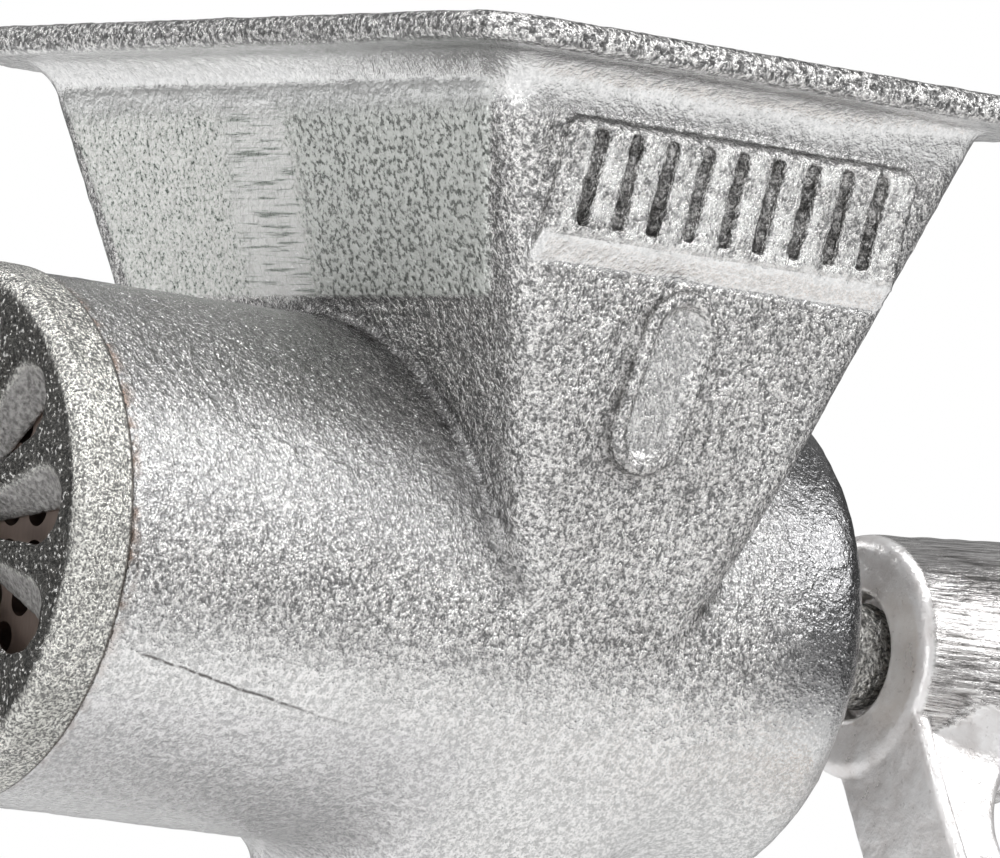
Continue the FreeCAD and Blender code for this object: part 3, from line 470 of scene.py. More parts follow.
def crank_field(x, y, z):
    r, down = np.hypot(y, z), -z
    hub = rounded(r - hub_radius(x), np.abs(x - 169) - 14, 2.2)
    half = 10.0 - 2.5 * np.clip(down, 0, 180) / 170
    front = 155.6 + 14 * ease((down - 26) / 96)
    back = front + 12 - 5 * ease((down - 40) / 110) + 6 * (1 - ease((down - 16) / 18))
    plan = np.maximum(np.abs(y) - half, np.maximum(z, down - CRANK_LENGTH)) * 0.97
    flat = rounded(plan, np.abs(x - front - 1.5) - 1.5, 0.9)
    thick = rounded(plan + 1.5, np.abs(x - (front + back) / 2) - (back - front) / 2, 2.0)
    from_pin = np.hypot(y, down - CRANK_LENGTH)
    eye = rounded(from_pin - EYE_R, np.abs(x - 175.6) - 6, 1.6)
    arm = joined(np.minimum(flat, thick), eye, 1.5)
    crank = joined(hub, arm, 0.6 + 7 * ease((x - 158) / 10))
    crank = np.maximum(crank, HUB_FRONT - x)
    recess = rounded(r - RECESS_R, x - 160, 0.5)
    square = np.maximum(np.abs(y), np.abs(z)) - SQUARE_HALF
    crank = rounded(crank, -np.minimum(recess, square), 0.5)
    return np.maximum(crank, -np.maximum(from_pin - PIN_R, -x))


def turned_with_crank(points):
    c, s = math.cos(CRANK_REST), math.sin(CRANK_REST)
    y, z = points[:, 1], points[:, 2]
    return np.stack([points[:, 0], y * c - z * s, y * s + z * c], 1)


CRANK_STEP = 0.62
points, faces, outward = cast(crank_field, (153, -22.5, -184), (185, 22.5, 22.5), CRANK_STEP)
from_axis = np.hypot(points[:, 1], points[:, 2])
from_pin = np.hypot(points[:, 1], points[:, 2] + CRANK_LENGTH)
shown = ease((from_axis - 10.5) / 3) * ease((from_pin - 4.5) / 2)
shown = shown * ease((HUB_REAR - 0.8 - points[:, 0]) / 1.5)
points = points + outward * (0.035 * ripple(points, 5.0, 12))[:, None] * shown[:, None]
crank_turned = piece("crank", seated(turned_with_crank(points)), faces)
thin_out(crank_turned, 150000)
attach(crank_turned, "drive")
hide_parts("crank_arm")

# %% [markdown]
# ## Building trees by name
# Materials, the room and the thread's shape are all trees of nodes. One small class adds the
# nodes, whatever the tree is for, and a second one knows what every metal or wood needs.
# Patterns are read from the piece's own place, in metres, so they stay with the piece.
# %% Build node trees by name
class Nodes:
    """Adds nodes to a tree. An input is a plain value or another node's socket."""

    def __init__(self, tree):
        self.tree = tree

    def put(self, socket, value):
        if isinstance(value, bpy.types.NodeSocket):
            self.tree.links.new(value, socket)
        else:
            socket.default_value = value

    def add(self, kind, inputs=None, **settings):
        node = self.tree.nodes.new(kind)
        for key, value in settings.items():
            setattr(node, key, value)
        for key, value in (inputs or {}).items():
            self.put(node.inputs[key], value)
        return node

    def ramp(self, value, stops):
        node = self.add("ShaderNodeValToRGB", {"Fac": value})
        elements = node.color_ramp.elements
        while len(elements) < len(stops):
            elements.new(0.5)
        for element, (place, shade) in zip(elements, stops):
            element.position = place
            element.color = (*shade, 1) if isinstance(shade, tuple) else (shade, shade, shade, 1)
        return node.outputs["Color"]

    def level(self, value, low, high, out_low, out_high):
        return self.add("ShaderNodeMapRange", {"Value": value, "From Min": low, "From Max": high,
                                               "To Min": out_low, "To Max": out_high}).outputs[0]

    def work(self, operation, a, b=0.0):
        return self.add("ShaderNodeMath", {0: a, 1: b}, operation=operation).outputs[0]

    def times(self, a, b):
        return self.work("MULTIPLY", a, b)

    def blend(self, factor, a, b, kind="MIX"):
        node = self.add("ShaderNodeMix", {"Factor": factor}, data_type="RGBA", blend_type=kind)
        for socket, value in ((node.inputs[6], a), (node.inputs[7], b)):
            self.put(socket, (*value, 1) if isinstance(value, tuple) else value)
        return node.outputs[2]

    def shade(self, factor, a, b):
        """Darkens a by b, as far as factor says."""
        return self.blend(factor, a, b, "MULTIPLY")


class Finish(Nodes):
    """A material whose nodes are added one by one."""

    def __init__(self, name):
        self.material = bpy.data.materials.new(name)
        self.material.use_nodes = True
        super().__init__(self.material.node_tree)
        self.shader = self.tree.nodes["Principled BSDF"]
        self.place = self.tree.nodes.new("ShaderNodeTexCoord").outputs["Object"]

    def stretched(self, scale):
        return self.add("ShaderNodeMapping", {"Vector": self.place, "Scale": scale}).outputs[0]

    def noise(self, scale, detail=2.0, rough=0.5, where=None, distort=0.0):
        inputs = {"Vector": where or self.place, "Scale": scale, "Detail": detail,
                  "Roughness": rough, "Distortion": distort}
        return self.add("ShaderNodeTexNoise", inputs).outputs["Fac"]

    def vertex(self, name):
        return self.add("ShaderNodeAttribute", attribute_name=name).outputs["Fac"]

    def bump(self, height, depth, normal=None):
        inputs = {"Height": height, "Distance": depth, "Strength": 1.0}
        if normal:
            inputs["Normal"] = normal
        return self.add("ShaderNodeBump", inputs).outputs[0]

    def finish(self, colour, roughness, normal=None, metallic=1.0):
        self.put(self.shader.inputs["Base Color"], colour)
        self.put(self.shader.inputs["Roughness"], roughness)
        self.put(self.shader.inputs["Metallic"], metallic)
        if normal:
            self.put(self.shader.inputs["Normal"], normal)
        return self.material


print("node helpers ready")

# %% [markdown]
# ## Where each finish lies
# The body's finish needs to know where the front pad is ground, where the parting line runs
# on the barrel, how deep in the hopper a point lies, and where the seam is. Those are worked
# out once for each vertex and stored on the mesh as numbers from 0 to 1.
# %% Mark the body's zones
PARTING_X, PARTING_BELOW = (5.3, 42, 73, 98), (24, 34, 37, 50)   # degrees below the side


def within(value, low, high):
    return (value > low) * (value < high)


def beside(distance, width):
    """1 on a line, 0 from the given width on."""
    return 1 - ease(np.abs(distance) / width)


x, y, z = barrel_points(casting).T
outer_r = np.hypot(y, z)
below = -np.degrees(np.arctan2(z, np.abs(y)))
parting_gap = np.radians(below - np.interp(x, PARTING_X, PARTING_BELOW)) * BARREL_R
front = (FRONT_X - FRONT_LEAN * z - x) / math.hypot(1, FRONT_LEAN)
side_wall = (np.abs(y) - SIDE_Y - SIDE_LEAN * z) / math.hypot(1, SIDE_LEAN)
near_side = (side_wall > -0.6) * (y < 0)
oval = from_oval(x, z)
lower_fade = 1 - ease((outer_r - 44) / 34)

on_pad = np.abs(y) < PAD_Y + PAD_SPREAD * (z - PAD_Z0) + 0.2
on_pad = on_pad * within(z, PAD_Z0 + 0.2, 70.2) * (front < 1.6)
on_barrel = (outer_r > BARREL_R - 9) * ease((BARREL_R + 5 - outer_r) / 6) * (x > 0)
on_barrel = on_barrel * ease((z + 4) / 16)
on_shoulder = ease((x - 106) / 18) * (x < 132) * (outer_r < BARREL_R + 1.5)
on_shoulder = on_shoulder * ease((z + 30) / 26) * ease((outer_r - 24) / 10) * ease((4 - y) / 16)
on_panel = within(z, PANEL_Z0 - 0.5, PANEL_Z1 - 0.8) * within(x, PANEL_X0 + 1.5, PANEL_X1)
on_panel = on_panel * within(side_wall, 0.1, 3)

# where painted shade goes: the panel's grooves, the oval boss's foot, the hopper's joint with the
# barrel and a line under the panel's top
grooves = on_panel * (1 - ease((side_wall - 0.5) / 1.1))
boss_foot = beside(oval - 0.2, 0.8) * near_side
hopper_joint = (hopper_outside(x, y, z) < 1.6) * ease((outer_r - BARREL_R + 0.4) / 0.4) * (z > 0)
hopper_joint = hopper_joint * (1 - ease((outer_r - BARREL_R - 1.2) / 1.2))
panel_top = beside(z - PANEL_Z1 - 0.2, 0.7) * within(x, PANEL_X0, PANEL_X1 + 4)
panel_top = panel_top * within(side_wall, -0.5, 1.2)

# calm places: a smoother skin, and in the finish a pale painted reflection of the floor
cove = ease((z - 64) / 4) * (1 - ease((z - 73.0) / 1.2))
ledge = (np.abs(y) > SIDE_Y + SIDE_LEAN * z - 1) * within(x, 49, 113.5)
ledge = ledge * ease((z - 45.0) / 0.6) * (1 - ease((z - 49.2) / 0.8))
under_barrel = ease((below - 6) / 22) * lower_fade
dish = ease((-1.6 - oval) / 1.2) * near_side

zones = {
    "parting": np.where(y < 0, parting_gap, 9.0),
    "parting_ends": ease((x - 5) / 2) * (1 - ease((x - 26) / 26)) * (outer_r > 35),
    "ground": ease((front + 0.2) / 0.4) * on_pad,
    "seam": ease((2.2 - x) / 2.2) * (np.abs(outer_r - BARREL_R) < 1.5),
    "inside": ease(-hopper_hollow(x, y, z) / 0.6 + 1.2) * within(z, -40, 74),
    "barrel": on_barrel,
    "barrel_top_shade": on_barrel * ease((z - 14) / 12),
    "under": ease((below - 26) / 18) * lower_fade * (1 - ease((x - 56) / 22)),
    "shoulder": on_shoulder,
    # hollow carries painted shade in grooves and corners
    "hollow": np.maximum.reduce([grooves, 0.9 * boss_foot, 0.7 * hopper_joint, 0.8 * panel_top]),
    # ridge carries a painted highlight on the panel's raised face
    "ridge": on_panel * ease((side_wall - 1.5) / 0.5),
    "rim": ease((z - 71.5) / 2.5),
    "calm": np.maximum.reduce([0.72 * cove, 0.7 * ledge, 0.52 * under_barrel, 0.35 * dish]),
}
for name, values in zones.items():
    vertex_value(casting, name, values)
    print("zone", name, "vertices:", int((np.abs(values) > 0.5).sum()))

# %% [markdown]
# ## Hot tin on sand-cast iron
# Molten tin runs over the sandy skin of the iron, so the metal is bright but broken up: each
# grain mirrors another part of the room. A smooth metal with a strong, very small bump does
# this. The recipe is one function, because three castings share it: a slow noise for the
# tin's thickness, two fine ones for the sand's grain, and a bump that is deep for its size.
# %% Mix the tin
WHITE = (1.0, 1.0, 1.0)
BUMP_BROAD, BUMP_MEDIUM, BUMP_SMALL = 0.0007, 0.00048, 0.00022
CALMEST = 0.12            # how much of the relief is left where the skin is calm
SHOULDER_CALM = 0.62


def tinned(name, light=1.0, warm=0.0, grain=1.0, fine=2600.0, coarse=1150.0,
           rough=(0.10, 0.20), calm=False, pit=0.20):
    """Bright tin over sand-cast iron; grain scales how deep the skin's relief is."""
    f = Finish(name)
    small = f.noise(fine, 3.0, 0.62)
    medium = f.noise(coarse, 2.0, 0.55, distort=0.4)
    slow = f.noise(55.0, 3.0, 0.5)
    heights = [f.noise(330.0, 2.0, 0.5), medium, small]
    if calm:
        quiet = f.work("ADD", f.vertex("calm"), f.times(f.vertex("shoulder"), SHOULDER_CALM))
        rest = f.level(quiet, 0.0, 1.0, 1.0, CALMEST)
        heights = [f.times(height, rest) for height in heights]
    normal = None
    for height, depth in zip(heights, (BUMP_BROAD, BUMP_MEDIUM, BUMP_SMALL)):
        normal = f.bump(height, depth * grain, normal)
    dark = (pit * light, pit * light, (pit - 0.02 * warm) * light)
    bright = (0.96 * light, 0.95 * light, (0.94 - 0.10 * warm) * light)
    between = tuple((a + b) / 2 for a, b in zip(dark, bright))
    mixed = f.work("ADD", f.times(small, 0.55), f.times(medium, 0.45))
    colour = f.ramp(mixed, [(0.42, dark), (0.50, between), (0.57, bright)])
    colour = f.shade(f.level(slow, 0.35, 0.65, 0.0, 0.22), colour, (0.45, 0.44, 0.43))
    roughness = f.level(slow, 0.3, 0.7, rough[0], rough[1])
    return f, colour, roughness, normal, small, medium


# %% [markdown]
# The body's tin changes from place to place. The barrel's top gets painted shade and painted
# glints, and the rear shoulder is painted dark with painted glints. The front pad was ground and
# shows strokes, grooves and corners get painted shade, the panel's raised face gets a painted
# highlight, and calm places get a pale painted reflection. Each change is one blend, laid over
# the last like a thin coat.
# %% Tin the body
f, colour, roughness, normal, small, medium = tinned("tinned_body", calm=True)
shoulder = f.vertex("shoulder")
colour = f.blend(f.times(f.vertex("barrel"), 0.62), colour, (0.60, 0.60, 0.605))
# painted shade: the barrel's top is darkened
colour = f.shade(f.vertex("barrel_top_shade"), colour, (0.56, 0.555, 0.55))
# painted glints: white specks on the barrel
colour = f.blend(f.times(f.level(small, 0.585, 0.625, 0.0, 0.9), f.vertex("barrel")), colour, WHITE)
# painted dark reflection on the rear shoulder, and painted glints on it in the next line
colour = f.blend(f.times(shoulder, 0.88), colour, (0.20, 0.20, 0.205))
colour = f.blend(f.times(shoulder, f.level(small, 0.60, 0.64, 0.0, 0.9)), colour, WHITE)

# the pad: ground metal on its right, the cast skin on its left, and scored in between
ground = f.vertex("ground")
across = f.add("ShaderNodeSeparateXYZ", {"Vector": f.place}).outputs["Y"]
ground_metal = f.ramp(f.noise(1500.0, 4.0, 0.7), [
    (0.36, (0.16, 0.18, 0.165)), (0.45, (0.76, 0.80, 0.75)), (0.53, (1.0, 1.0, 0.97))])
cast_skin = f.ramp(f.noise(1150.0, 3.0, 0.65), [
    (0.40, (0.10, 0.11, 0.10)), (0.52, (0.86, 0.89, 0.85))])
unground = f.level(across, -0.006, -0.001, 0.84, 0.0)
colour = f.blend(ground, colour, f.blend(unground, ground_metal, cast_skin))

pits = f.times(f.level(medium, 0.40, 0.52, 1.0, 0.0), f.vertex("rim"))
colour = f.blend(f.times(pits, 0.5), colour, (0.06, 0.06, 0.06))
# painted shade in grooves and corners, broken into patches
shade_patches = f.level(f.noise(300.0, 3.0, 0.6), 0.38, 0.62, 0.25, 0.95)
colour = f.shade(f.times(f.vertex("hollow"), shade_patches), colour, (0.22, 0.215, 0.21))
# painted highlight, in patches, on the panel's raised face
highlight_patches = f.level(f.noise(420.0, 2.0), 0.4, 0.6, 0.05, 0.75)
colour = f.blend(f.times(f.vertex("ridge"), highlight_patches), colour, (0.97, 0.97, 0.96))

ragged = f.noise(1.0, 2.0, 0.5, f.stretched((30.0, 4.0, 500.0)))
band = f.work("ADD", across, f.level(ragged, 0.3, 0.7, -0.0016, 0.0016))
scored = f.times(f.level(band, -0.0025, -0.0018, 0.0, 1.0), f.level(band, 0.011, 0.016, 1.0, 0.0))
strokes = f.ramp(f.noise(1.0, 4.0, 0.62, f.stretched((90.0, 90.0, 1500.0))),
                 [(0.38, (0.38, 0.41, 0.38)), (0.46, (0.90, 0.92, 0.89)), (0.52, (1.0, 1.0, 0.98))])
colour = f.blend(f.times(scored, ground), colour, strokes)

rusty = f.level(f.noise(420.0, 2.0), 0.42, 0.6, 0.0, 0.8)
colour = f.blend(f.times(f.vertex("seam"), rusty), colour, (0.24, 0.15, 0.10))
# painted shade inside the hopper
colour = f.shade(f.times(f.vertex("inside"), 0.55), colour, (0.50, 0.49, 0.47))
# pale painted reflection of the floor where the skin is calm
colour = f.blend(f.times(f.vertex("calm"), 0.95), colour, (0.88, 0.88, 0.88))
colour = f.shade(f.vertex("under"), colour, (0.88, 0.88, 0.885))

# the parting line, a thin crack that wanders and fades out towards the crank
gap = f.work("ADD", f.vertex("parting"), f.level(f.noise(260.0, 2.0), 0.0, 1.0, -0.35, 0.35))
line = f.times(f.level(f.work("ABSOLUTE", gap), 0.06, 0.34, 1.0, 0.0), f.vertex("parting_ends"))
line = f.times(line, f.level(f.noise(700.0, 2.0), 0.35, 0.5, 0.3, 1.0))
colour = f.blend(f.times(line, 0.9), colour, (0.06, 0.055, 0.05))
matt = f.work("MAXIMUM", f.work("MAXIMUM", line, ground), f.times(f.vertex("under"), 1.3))
metallic = f.level(matt, 0.0, 1.0, 1.0, 0.62)
casting.data.materials.append(f.finish(colour, roughness, normal, metallic))
print("nodes in the body's finish:", len(f.tree.nodes))

# %% [markdown]
# ## The ring's finish
# The ring has a finer, warmer skin. Its face gets painted shade with painted glints, and the walls
# of its windows stay matt. The seam behind it is a dark brown line.
# %% Finish the ring
at = barrel_points(slotted_ring)
r = np.hypot(at[:, 1], at[:, 2])
vertex_value(slotted_ring, "face_shade_and_glints", ease((36.9 - r) / 1.0) * ease((-8.3 - at[:, 0]) / 0.6))
vertex_value(slotted_ring, "slot_wall", ease((at[:, 0] + 8.7) / 0.6) * (r < 34))
vertex_value(slotted_ring, "seam", ease((at[:, 0] + 1.0) / 0.45) * (r > 37))
f, colour, roughness, normal, small, medium = tinned(
    "tinned_ring", warm=0.4, grain=0.9, fine=3000.0, coarse=1500.0, rough=(0.18, 0.32), pit=0.24)
face_shade_and_glints, slot_wall = f.vertex("face_shade_and_glints"), f.vertex("slot_wall")
# painted shade: the ring's face is darkened for the dark room it mirrors
colour = f.shade(f.times(face_shade_and_glints, 0.92), colour, (0.09, 0.088, 0.085))
# painted glints on the ring's face
colour = f.blend(f.times(face_shade_and_glints, f.level(medium, 0.60, 0.65, 0.0, 0.9)), colour, (0.95, 0.94, 0.92))
matt_wall = f.ramp(f.noise(1300.0, 3.0, 0.6), [
    (0.35, (0.22, 0.215, 0.21)), (0.62, (0.50, 0.49, 0.48))])
colour = f.blend(slot_wall, colour, matt_wall)
roughness = f.work("ADD", roughness, f.times(slot_wall, 0.35))
colour = f.blend(f.times(f.vertex("seam"), 0.9), colour, (0.06, 0.045, 0.035))
slotted_ring.data.materials.append(f.finish(colour, roughness, normal))
print("nodes in the ring's finish:", len(f.tree.nodes))

# %% [markdown]
# ## The crank's finish
# The crank is smoother and paler than the body. Its hub was turned along, so fine strokes
# run beside its axis, and they are more metallic than the arm's skin.
# %% Finish the crank
at = barrel_points(crank_turned)
from_side = np.hypot(at[:, 1], at[:, 2]) - hub_radius(at[:, 0])
vertex_value(crank_turned, "hub_side",
             ease((from_side + 0.7) / 0.4) * (from_side < 0.6) * ease((at[:, 0] - 156.6) / 0.6))
f = Finish("tinned_crank")
hub_side = f.vertex("hub_side")
blotch = f.noise(190.0, 4.0, 0.6)
speck = f.noise(900.0, 2.0, 0.6)
colour = f.ramp(blotch, [
    (0.36, (0.82, 0.79, 0.78)), (0.5, (0.90, 0.88, 0.875)), (0.62, (0.95, 0.94, 0.94))])
colour = f.blend(f.level(speck, 0.63, 0.72, 0.0, 0.35), colour, (0.45, 0.43, 0.42))
strokes = f.noise(1.0, 4.0, 0.7, f.stretched((45.0, 1700.0, 1700.0)))
drawn = f.ramp(strokes, [
    (0.36, (0.15, 0.145, 0.14)), (0.49, (0.50, 0.485, 0.48)), (0.62, (0.86, 0.85, 0.84))])
colour = f.blend(hub_side, colour, drawn)
roughness = f.work("SUBTRACT", f.level(blotch, 0.3, 0.7, 0.26, 0.40), f.times(hub_side, 0.08))
normal = f.bump(blotch, 0.0004, f.bump(speck, 0.00005))
normal = f.bump(f.times(strokes, hub_side), 0.00018, normal)
metallic = f.level(hub_side, 0.0, 1.0, 0.55, 0.92)
crank_turned.data.materials.append(f.finish(colour, roughness, normal, metallic))
print("nodes in the crank's finish:", len(f.tree.nodes))


def dress(material, *names):
    for name in names:
        data = NODES[name].data
        data.materials.clear()
        data.materials.append(material)
    print(material.name, "on", ", ".join(names))


def steel(name, tint, rough, turned_scale=(2200.0, 300.0, 300.0), scratch=0.00002):
    """Plated or ground steel with fine tool marks and a few scratches."""
    f = Finish(name)
    marks = f.noise(1.0, 3.0, 0.6, f.stretched(turned_scale))
    haze = f.noise(120.0, 3.0, 0.6)
    dull, bright = tuple(c * 0.72 for c in tint), tuple(min(1, c * 1.3) for c in tint)
    colour = f.blend(f.level(haze, 0.35, 0.7, 0.0, 0.5), tint, dull)
    colour = f.blend(f.level(marks, 0.4, 0.6, 0.0, 0.25), colour, bright)
    roughness = f.level(haze, 0.3, 0.7, rough - 0.06, rough + 0.1)
    return f.finish(colour, roughness, f.bump(marks, scratch))


f, colour, roughness, normal, small, medium = tinned(
    "tinned_feed_screw", 0.9, 0.2, 0.8, 2300.0, 900.0, (0.25, 0.4))
dress(f.finish(colour, roughness, normal), "feed_screw")
dress(steel("plated_steel", (0.68, 0.68, 0.67), 0.24),
      "grip_spindle", "grip_washer", "inner_ferrule", "outer_ferrule", "crank_washer",
      "crank_screw", "knife_stud", "plate_key_pin", "pad_washer", "wing_pin")
dress(steel("plated_clamp", (0.64, 0.64, 0.63), 0.28, (300.0, 300.0, 2200.0)),
      "clamp_screw", "clamp_pad", "clamp_wing")
dress(steel("cutting_steel", (0.56, 0.55, 0.53), 0.26, (300.0, 1800.0, 300.0)), "cutting_knife")
dress(steel("plate_steel", (0.42, 0.33, 0.29), 0.34, (300.0, 1500.0, 300.0), 0.00003), "hole_plate")
dress(steel("bush_bronze", (0.62, 0.42, 0.22), 0.3), "rear_bush")

# %% [markdown]
# ## The neck's thread
# The ring screws on to a coarse thread cut on the barrel's neck, which is out of sight until
# the ring comes off. A thread is one small profile that follows a helix, so a node tree makes
# it: a spiral curve, thinner towards both ends, swept by a six-sided profile that is sunk
# halfway into the neck. The number of turns, the radius, the length and the ridge are inputs.
# %% Cut the neck's thread with Geometry Nodes
def thread_tree():
    tree = bpy.data.node_groups.new("neck_thread", "GeometryNodeTree")
    for name in ("Turns", "Radius", "Length", "Ridge"):
        tree.interface.new_socket(name, in_out="INPUT", socket_type="NodeSocketFloat")
    tree.interface.new_socket("Start", in_out="INPUT", socket_type="NodeSocketVector")
    tree.interface.new_socket("Metal", in_out="INPUT", socket_type="NodeSocketMaterial")
    tree.interface.new_socket("Thread", in_out="OUTPUT", socket_type="NodeSocketGeometry")
    sizes = tree.nodes.new("NodeGroupInput").outputs
    g = Nodes(tree)

    def made(kind, **inputs):
        inputs = {key.replace("_", " "): value for key, value in inputs.items()}
        return g.add(kind, inputs).outputs[0]

    helix = made("GeometryNodeCurveSpiral", Resolution=72, Rotations=sizes["Turns"],
                 Start_Radius=sizes["Radius"], End_Radius=sizes["Radius"], Height=sizes["Length"])
    along = made("GeometryNodeSplineParameter")
    nearest_end = g.work("MINIMUM", along, g.work("SUBTRACT", 1.0, along))
    taper = g.level(nearest_end, 0.0, 0.12, 0.25, 1.0)
    profile = made("GeometryNodeCurvePrimitiveCircle", Resolution=6, Radius=sizes["Ridge"])
    ridge = made("GeometryNodeCurveToMesh", Curve=helix, Profile_Curve=profile, Scale=taper,
                 Fill_Caps=True)
    laid = made("GeometryNodeTransform", Geometry=ridge, Translation=sizes["Start"],
                Rotation=(0, math.pi / 2, 0))
    real = made("GeometryNodeRealizeInstances", Geometry=laid)
    metal = made("GeometryNodeSetMaterial", Geometry=real, Material=sizes["Metal"])
    tree.links.new(metal, tree.nodes.new("NodeGroupOutput").inputs[0])
    return tree


def grown(name, tree, **sizes):
    """A plain mesh object from a node tree and its named inputs."""
    seedling = bpy.data.objects.new(name + "_seedling", bpy.data.meshes.new(name + "_seedling"))
    bpy.context.scene.collection.objects.link(seedling)
    modifier = seedling.modifiers.new("nodes", "NODES")
    modifier.node_group = tree
    for item in tree.interface.items_tree:
        if item.in_out == "INPUT":
            modifier[item.identifier] = sizes[item.name]
    view = bpy.context.evaluated_depsgraph_get()
    mesh = bpy.data.meshes.new_from_object(seedling.evaluated_get(view))
    bpy.data.objects.remove(seedling)
    shape = bmesh.new()
    shape.from_mesh(mesh)
    if shape.calc_volume(signed=True) < 0:
        bmesh.ops.reverse_faces(shape, faces=shape.faces)
    shape.to_mesh(mesh)
    shape.free()
    mesh.name = name
    obj = bpy.data.objects.new(name, mesh)
    bpy.context.scene.collection.objects.link(obj)
    return obj


THREAD_START, THREAD_LENGTH, THREAD_PITCH, RIDGE = -4.1, 3.2, 2.0, 0.6
neck_thread = grown("neck_thread", thread_tree(), Turns=THREAD_LENGTH / THREAD_PITCH,
                    Radius=NECK_R * MM, Length=THREAD_LENGTH * MM, Ridge=RIDGE * MM,
                    Start=(SEAM_X + THREAD_START * MM, 0, AXIS_Z),
                    Metal=steel("cut_thread", (0.60, 0.59, 0.58), 0.3))
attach(neck_thread, "body")
print("thread faces:", len(neck_thread.data.polygons), "turns:", THREAD_LENGTH / THREAD_PITCH)

# %% [markdown]
# ## The fibre washer
# A hard brown fibre washer takes the screw's thrust. Its fibres lie flat, so the pattern is
# stretched in one direction and the sheen is low.
# %% Finish the washer
f = Finish("fibre")
fibres = f.noise(1.0, 4.0, 0.6, f.stretched((900.0, 160.0, 900.0)))
colour = f.ramp(fibres, [(0.3, (0.16, 0.07, 0.04)), (0.7, (0.30, 0.15, 0.09))])
dress(f.finish(colour, 0.6, f.bump(fibres, 0.00005), 0.0), "thrust_washer")

# %% [markdown]
# ## The wooden grip
# The grip is turned from beech. Its grain runs along the grip, with short dark flecks, under
# a thin varnish. Wood patterns stretch along the grain, so the pattern's place is scaled
# down along that direction.
# %% Finish the wood
f = Finish("turned_beech")
rings = f.noise(1.0, 4.0, 0.55, f.stretched((9.0, 260.0, 260.0)), 1.2)
flecks = f.noise(1.0, 2.0, 0.6, f.stretched((120.0, 2600.0, 2600.0)))
colour = f.ramp(rings, [
    (0.32, (0.30, 0.15, 0.065)), (0.50, (0.52, 0.30, 0.145)), (0.68, (0.66, 0.42, 0.23))])
colour = f.blend(f.level(flecks, 0.56, 0.68, 0.0, 0.6), colour, (0.22, 0.11, 0.05))
wood = f.finish(colour, f.level(rings, 0.3, 0.7, 0.3, 0.46), f.bump(flecks, 0.00008), 0.0)
f.shader.inputs["Coat Weight"].default_value = 0.35
f.shader.inputs["Coat Roughness"].default_value = 0.18
dress(wood, "wooden_grip")

# %% [markdown]
# ## Floor
# A bright metal is drawn by what it mirrors. A pale floor throws light on every face that
# looks down. It lies below the lowest point that the clamp's screw can reach.
# %% Lay the floor
FLOOR_HALF = 1.1
SCREW_ROOM = 0.021     # the clamp screw can unwind this far before its wing meets the floor
lowest = min(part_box(name)[0].z for name in NODES)
square = np.array([(-1, -1), (1, -1), (1, 1), (-1, 1)], float) * FLOOR_HALF
corners = np.column_stack([square, np.full(4, lowest - SCREW_ROOM)])
f = Finish("pale_floor")
pale = f.ramp(f.noise(300.0, 2.0), [(0.3, (0.80, 0.80, 0.80)), (0.7, (0.84, 0.84, 0.84))])
floor = piece("floor", corners, np.array([[0, 1, 2, 3]]), smooth=False,
              material=f.finish(pale, 0.6, None, 0.0))
f.shader.inputs["Emission Color"].default_value = (1, 1, 1, 1)
f.shader.inputs["Emission Strength"].default_value = 0.1
print("floor at", round(lowest - SCREW_ROOM, 4))

# %% [markdown]
# ## Light
# Lamps are large and soft. The room itself is a simple ramp by height, with a darker end
# towards the crank, and plain white where the camera looks straight at it.
# %% Hang the lamps
CENTRE = (0.02, 0.0, 0.12)


def soft_lamp(name, place, target, width, height, power):
    lamp = bpy.data.objects.new(name, bpy.data.lights.new(name, "AREA"))
    lamp.data.shape, lamp.data.energy = "RECTANGLE", power
    lamp.data.size, lamp.data.size_y = width, height
    lamp.location = place
    lamp.rotation_euler = (Vector(target) - Vector(place)).to_track_quat("-Z", "Y").to_euler()
    bpy.context.scene.collection.objects.link(lamp)
    print(name, "at", place, "watts:", power)


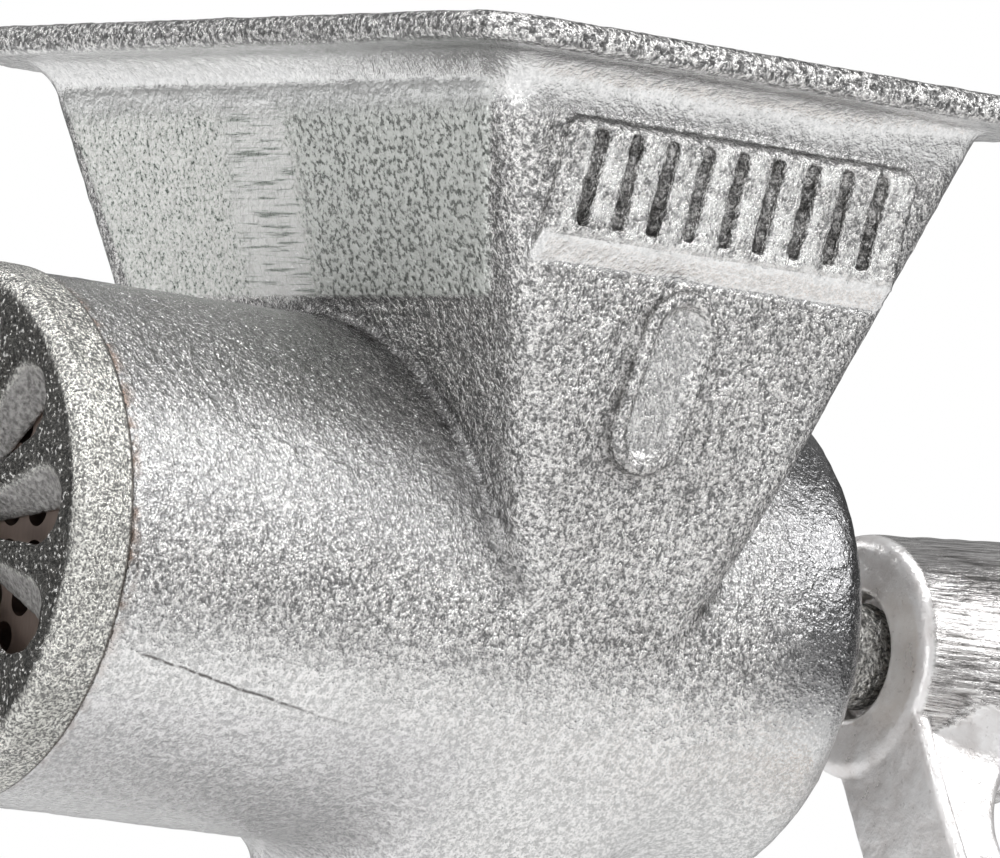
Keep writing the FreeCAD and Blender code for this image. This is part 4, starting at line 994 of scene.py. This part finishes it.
soft_lamp("key_lamp", (0.745, -0.775, 0.78), CENTRE, 1.0, 0.5, 7)
soft_lamp("fill_lamp", (-1.0, -0.8, 0.15), CENTRE, 0.7, 0.7, 4)
soft_lamp("floor_lamp", (-0.56, 0.95, 0.6), (-0.56, 0.93, -0.2), 0.7, 0.7, 5)
soft_lamp("top_lamp", (-0.2, -0.2, 1.3), CENTRE, 0.9, 0.9, 11)

# %% [markdown]
# What a bright metal shows is mostly the room, so the room is painted too, by height only. A
# dark band at the horizon darkens the edges of every round form, and a pale one above it
# draws their upper sides.
# %% Paint the room
# each stop is a height, from straight down, 0, over the horizon, 0.5, to straight up, 1
END = [(0.0, 1.0), (0.38, 0.8), (0.45, 0.22), (0.50, 0.10), (0.70, 0.12), (0.80, 0.35), (1.0, 0.3)]
NEAR = [(0.0, 1.0), (0.38, 0.9), (0.45, 0.35), (0.50, 0.18), (0.57, 0.18), (0.64, 0.6),
        (0.78, 0.7), (0.86, 0.25), (1.0, 0.2)]
FAR = [(0.0, 1.0), (0.38, 0.9), (0.45, 0.3), (0.50, 0.08), (0.58, 0.10), (0.66, 0.32), (0.8, 0.40),
       (1.0, 0.2)]
world = bpy.data.worlds.new("room")
bpy.context.scene.world = world
world.use_nodes = True
world.node_tree.nodes.clear()
w = Nodes(world.node_tree)
direction = w.add("ShaderNodeTexCoord").outputs["Generated"]
axes = w.add("ShaderNodeSeparateXYZ", {"Vector": direction}).outputs
height = w.level(axes["Z"], -1.0, 1.0, 0.0, 1.0)
far_side = w.level(axes["Y"], -0.35, 0.35, 0.0, 1.0)
crank_end = w.level(axes["X"], 0.66, 0.86, 0.0, 1.0)
walls = w.blend(far_side, w.ramp(height, NEAR), w.ramp(height, FAR))
walls = w.blend(crank_end, walls, w.ramp(height, END))
room = w.add("ShaderNodeBackground", {"Color": walls, "Strength": 1.0}).outputs[0]
white = w.add("ShaderNodeBackground", {"Color": (1, 1, 1, 1), "Strength": 1.0}).outputs[0]
seen = w.add("ShaderNodeLightPath").outputs["Is Camera Ray"]
both = w.add("ShaderNodeMixShader", {0: seen, 1: room, 2: white}).outputs[0]
w.add("ShaderNodeOutputWorld", {"Surface": both})
bpy.context.scene.view_settings.view_transform = "Standard"
print("nodes in the room:", len(world.node_tree.nodes))
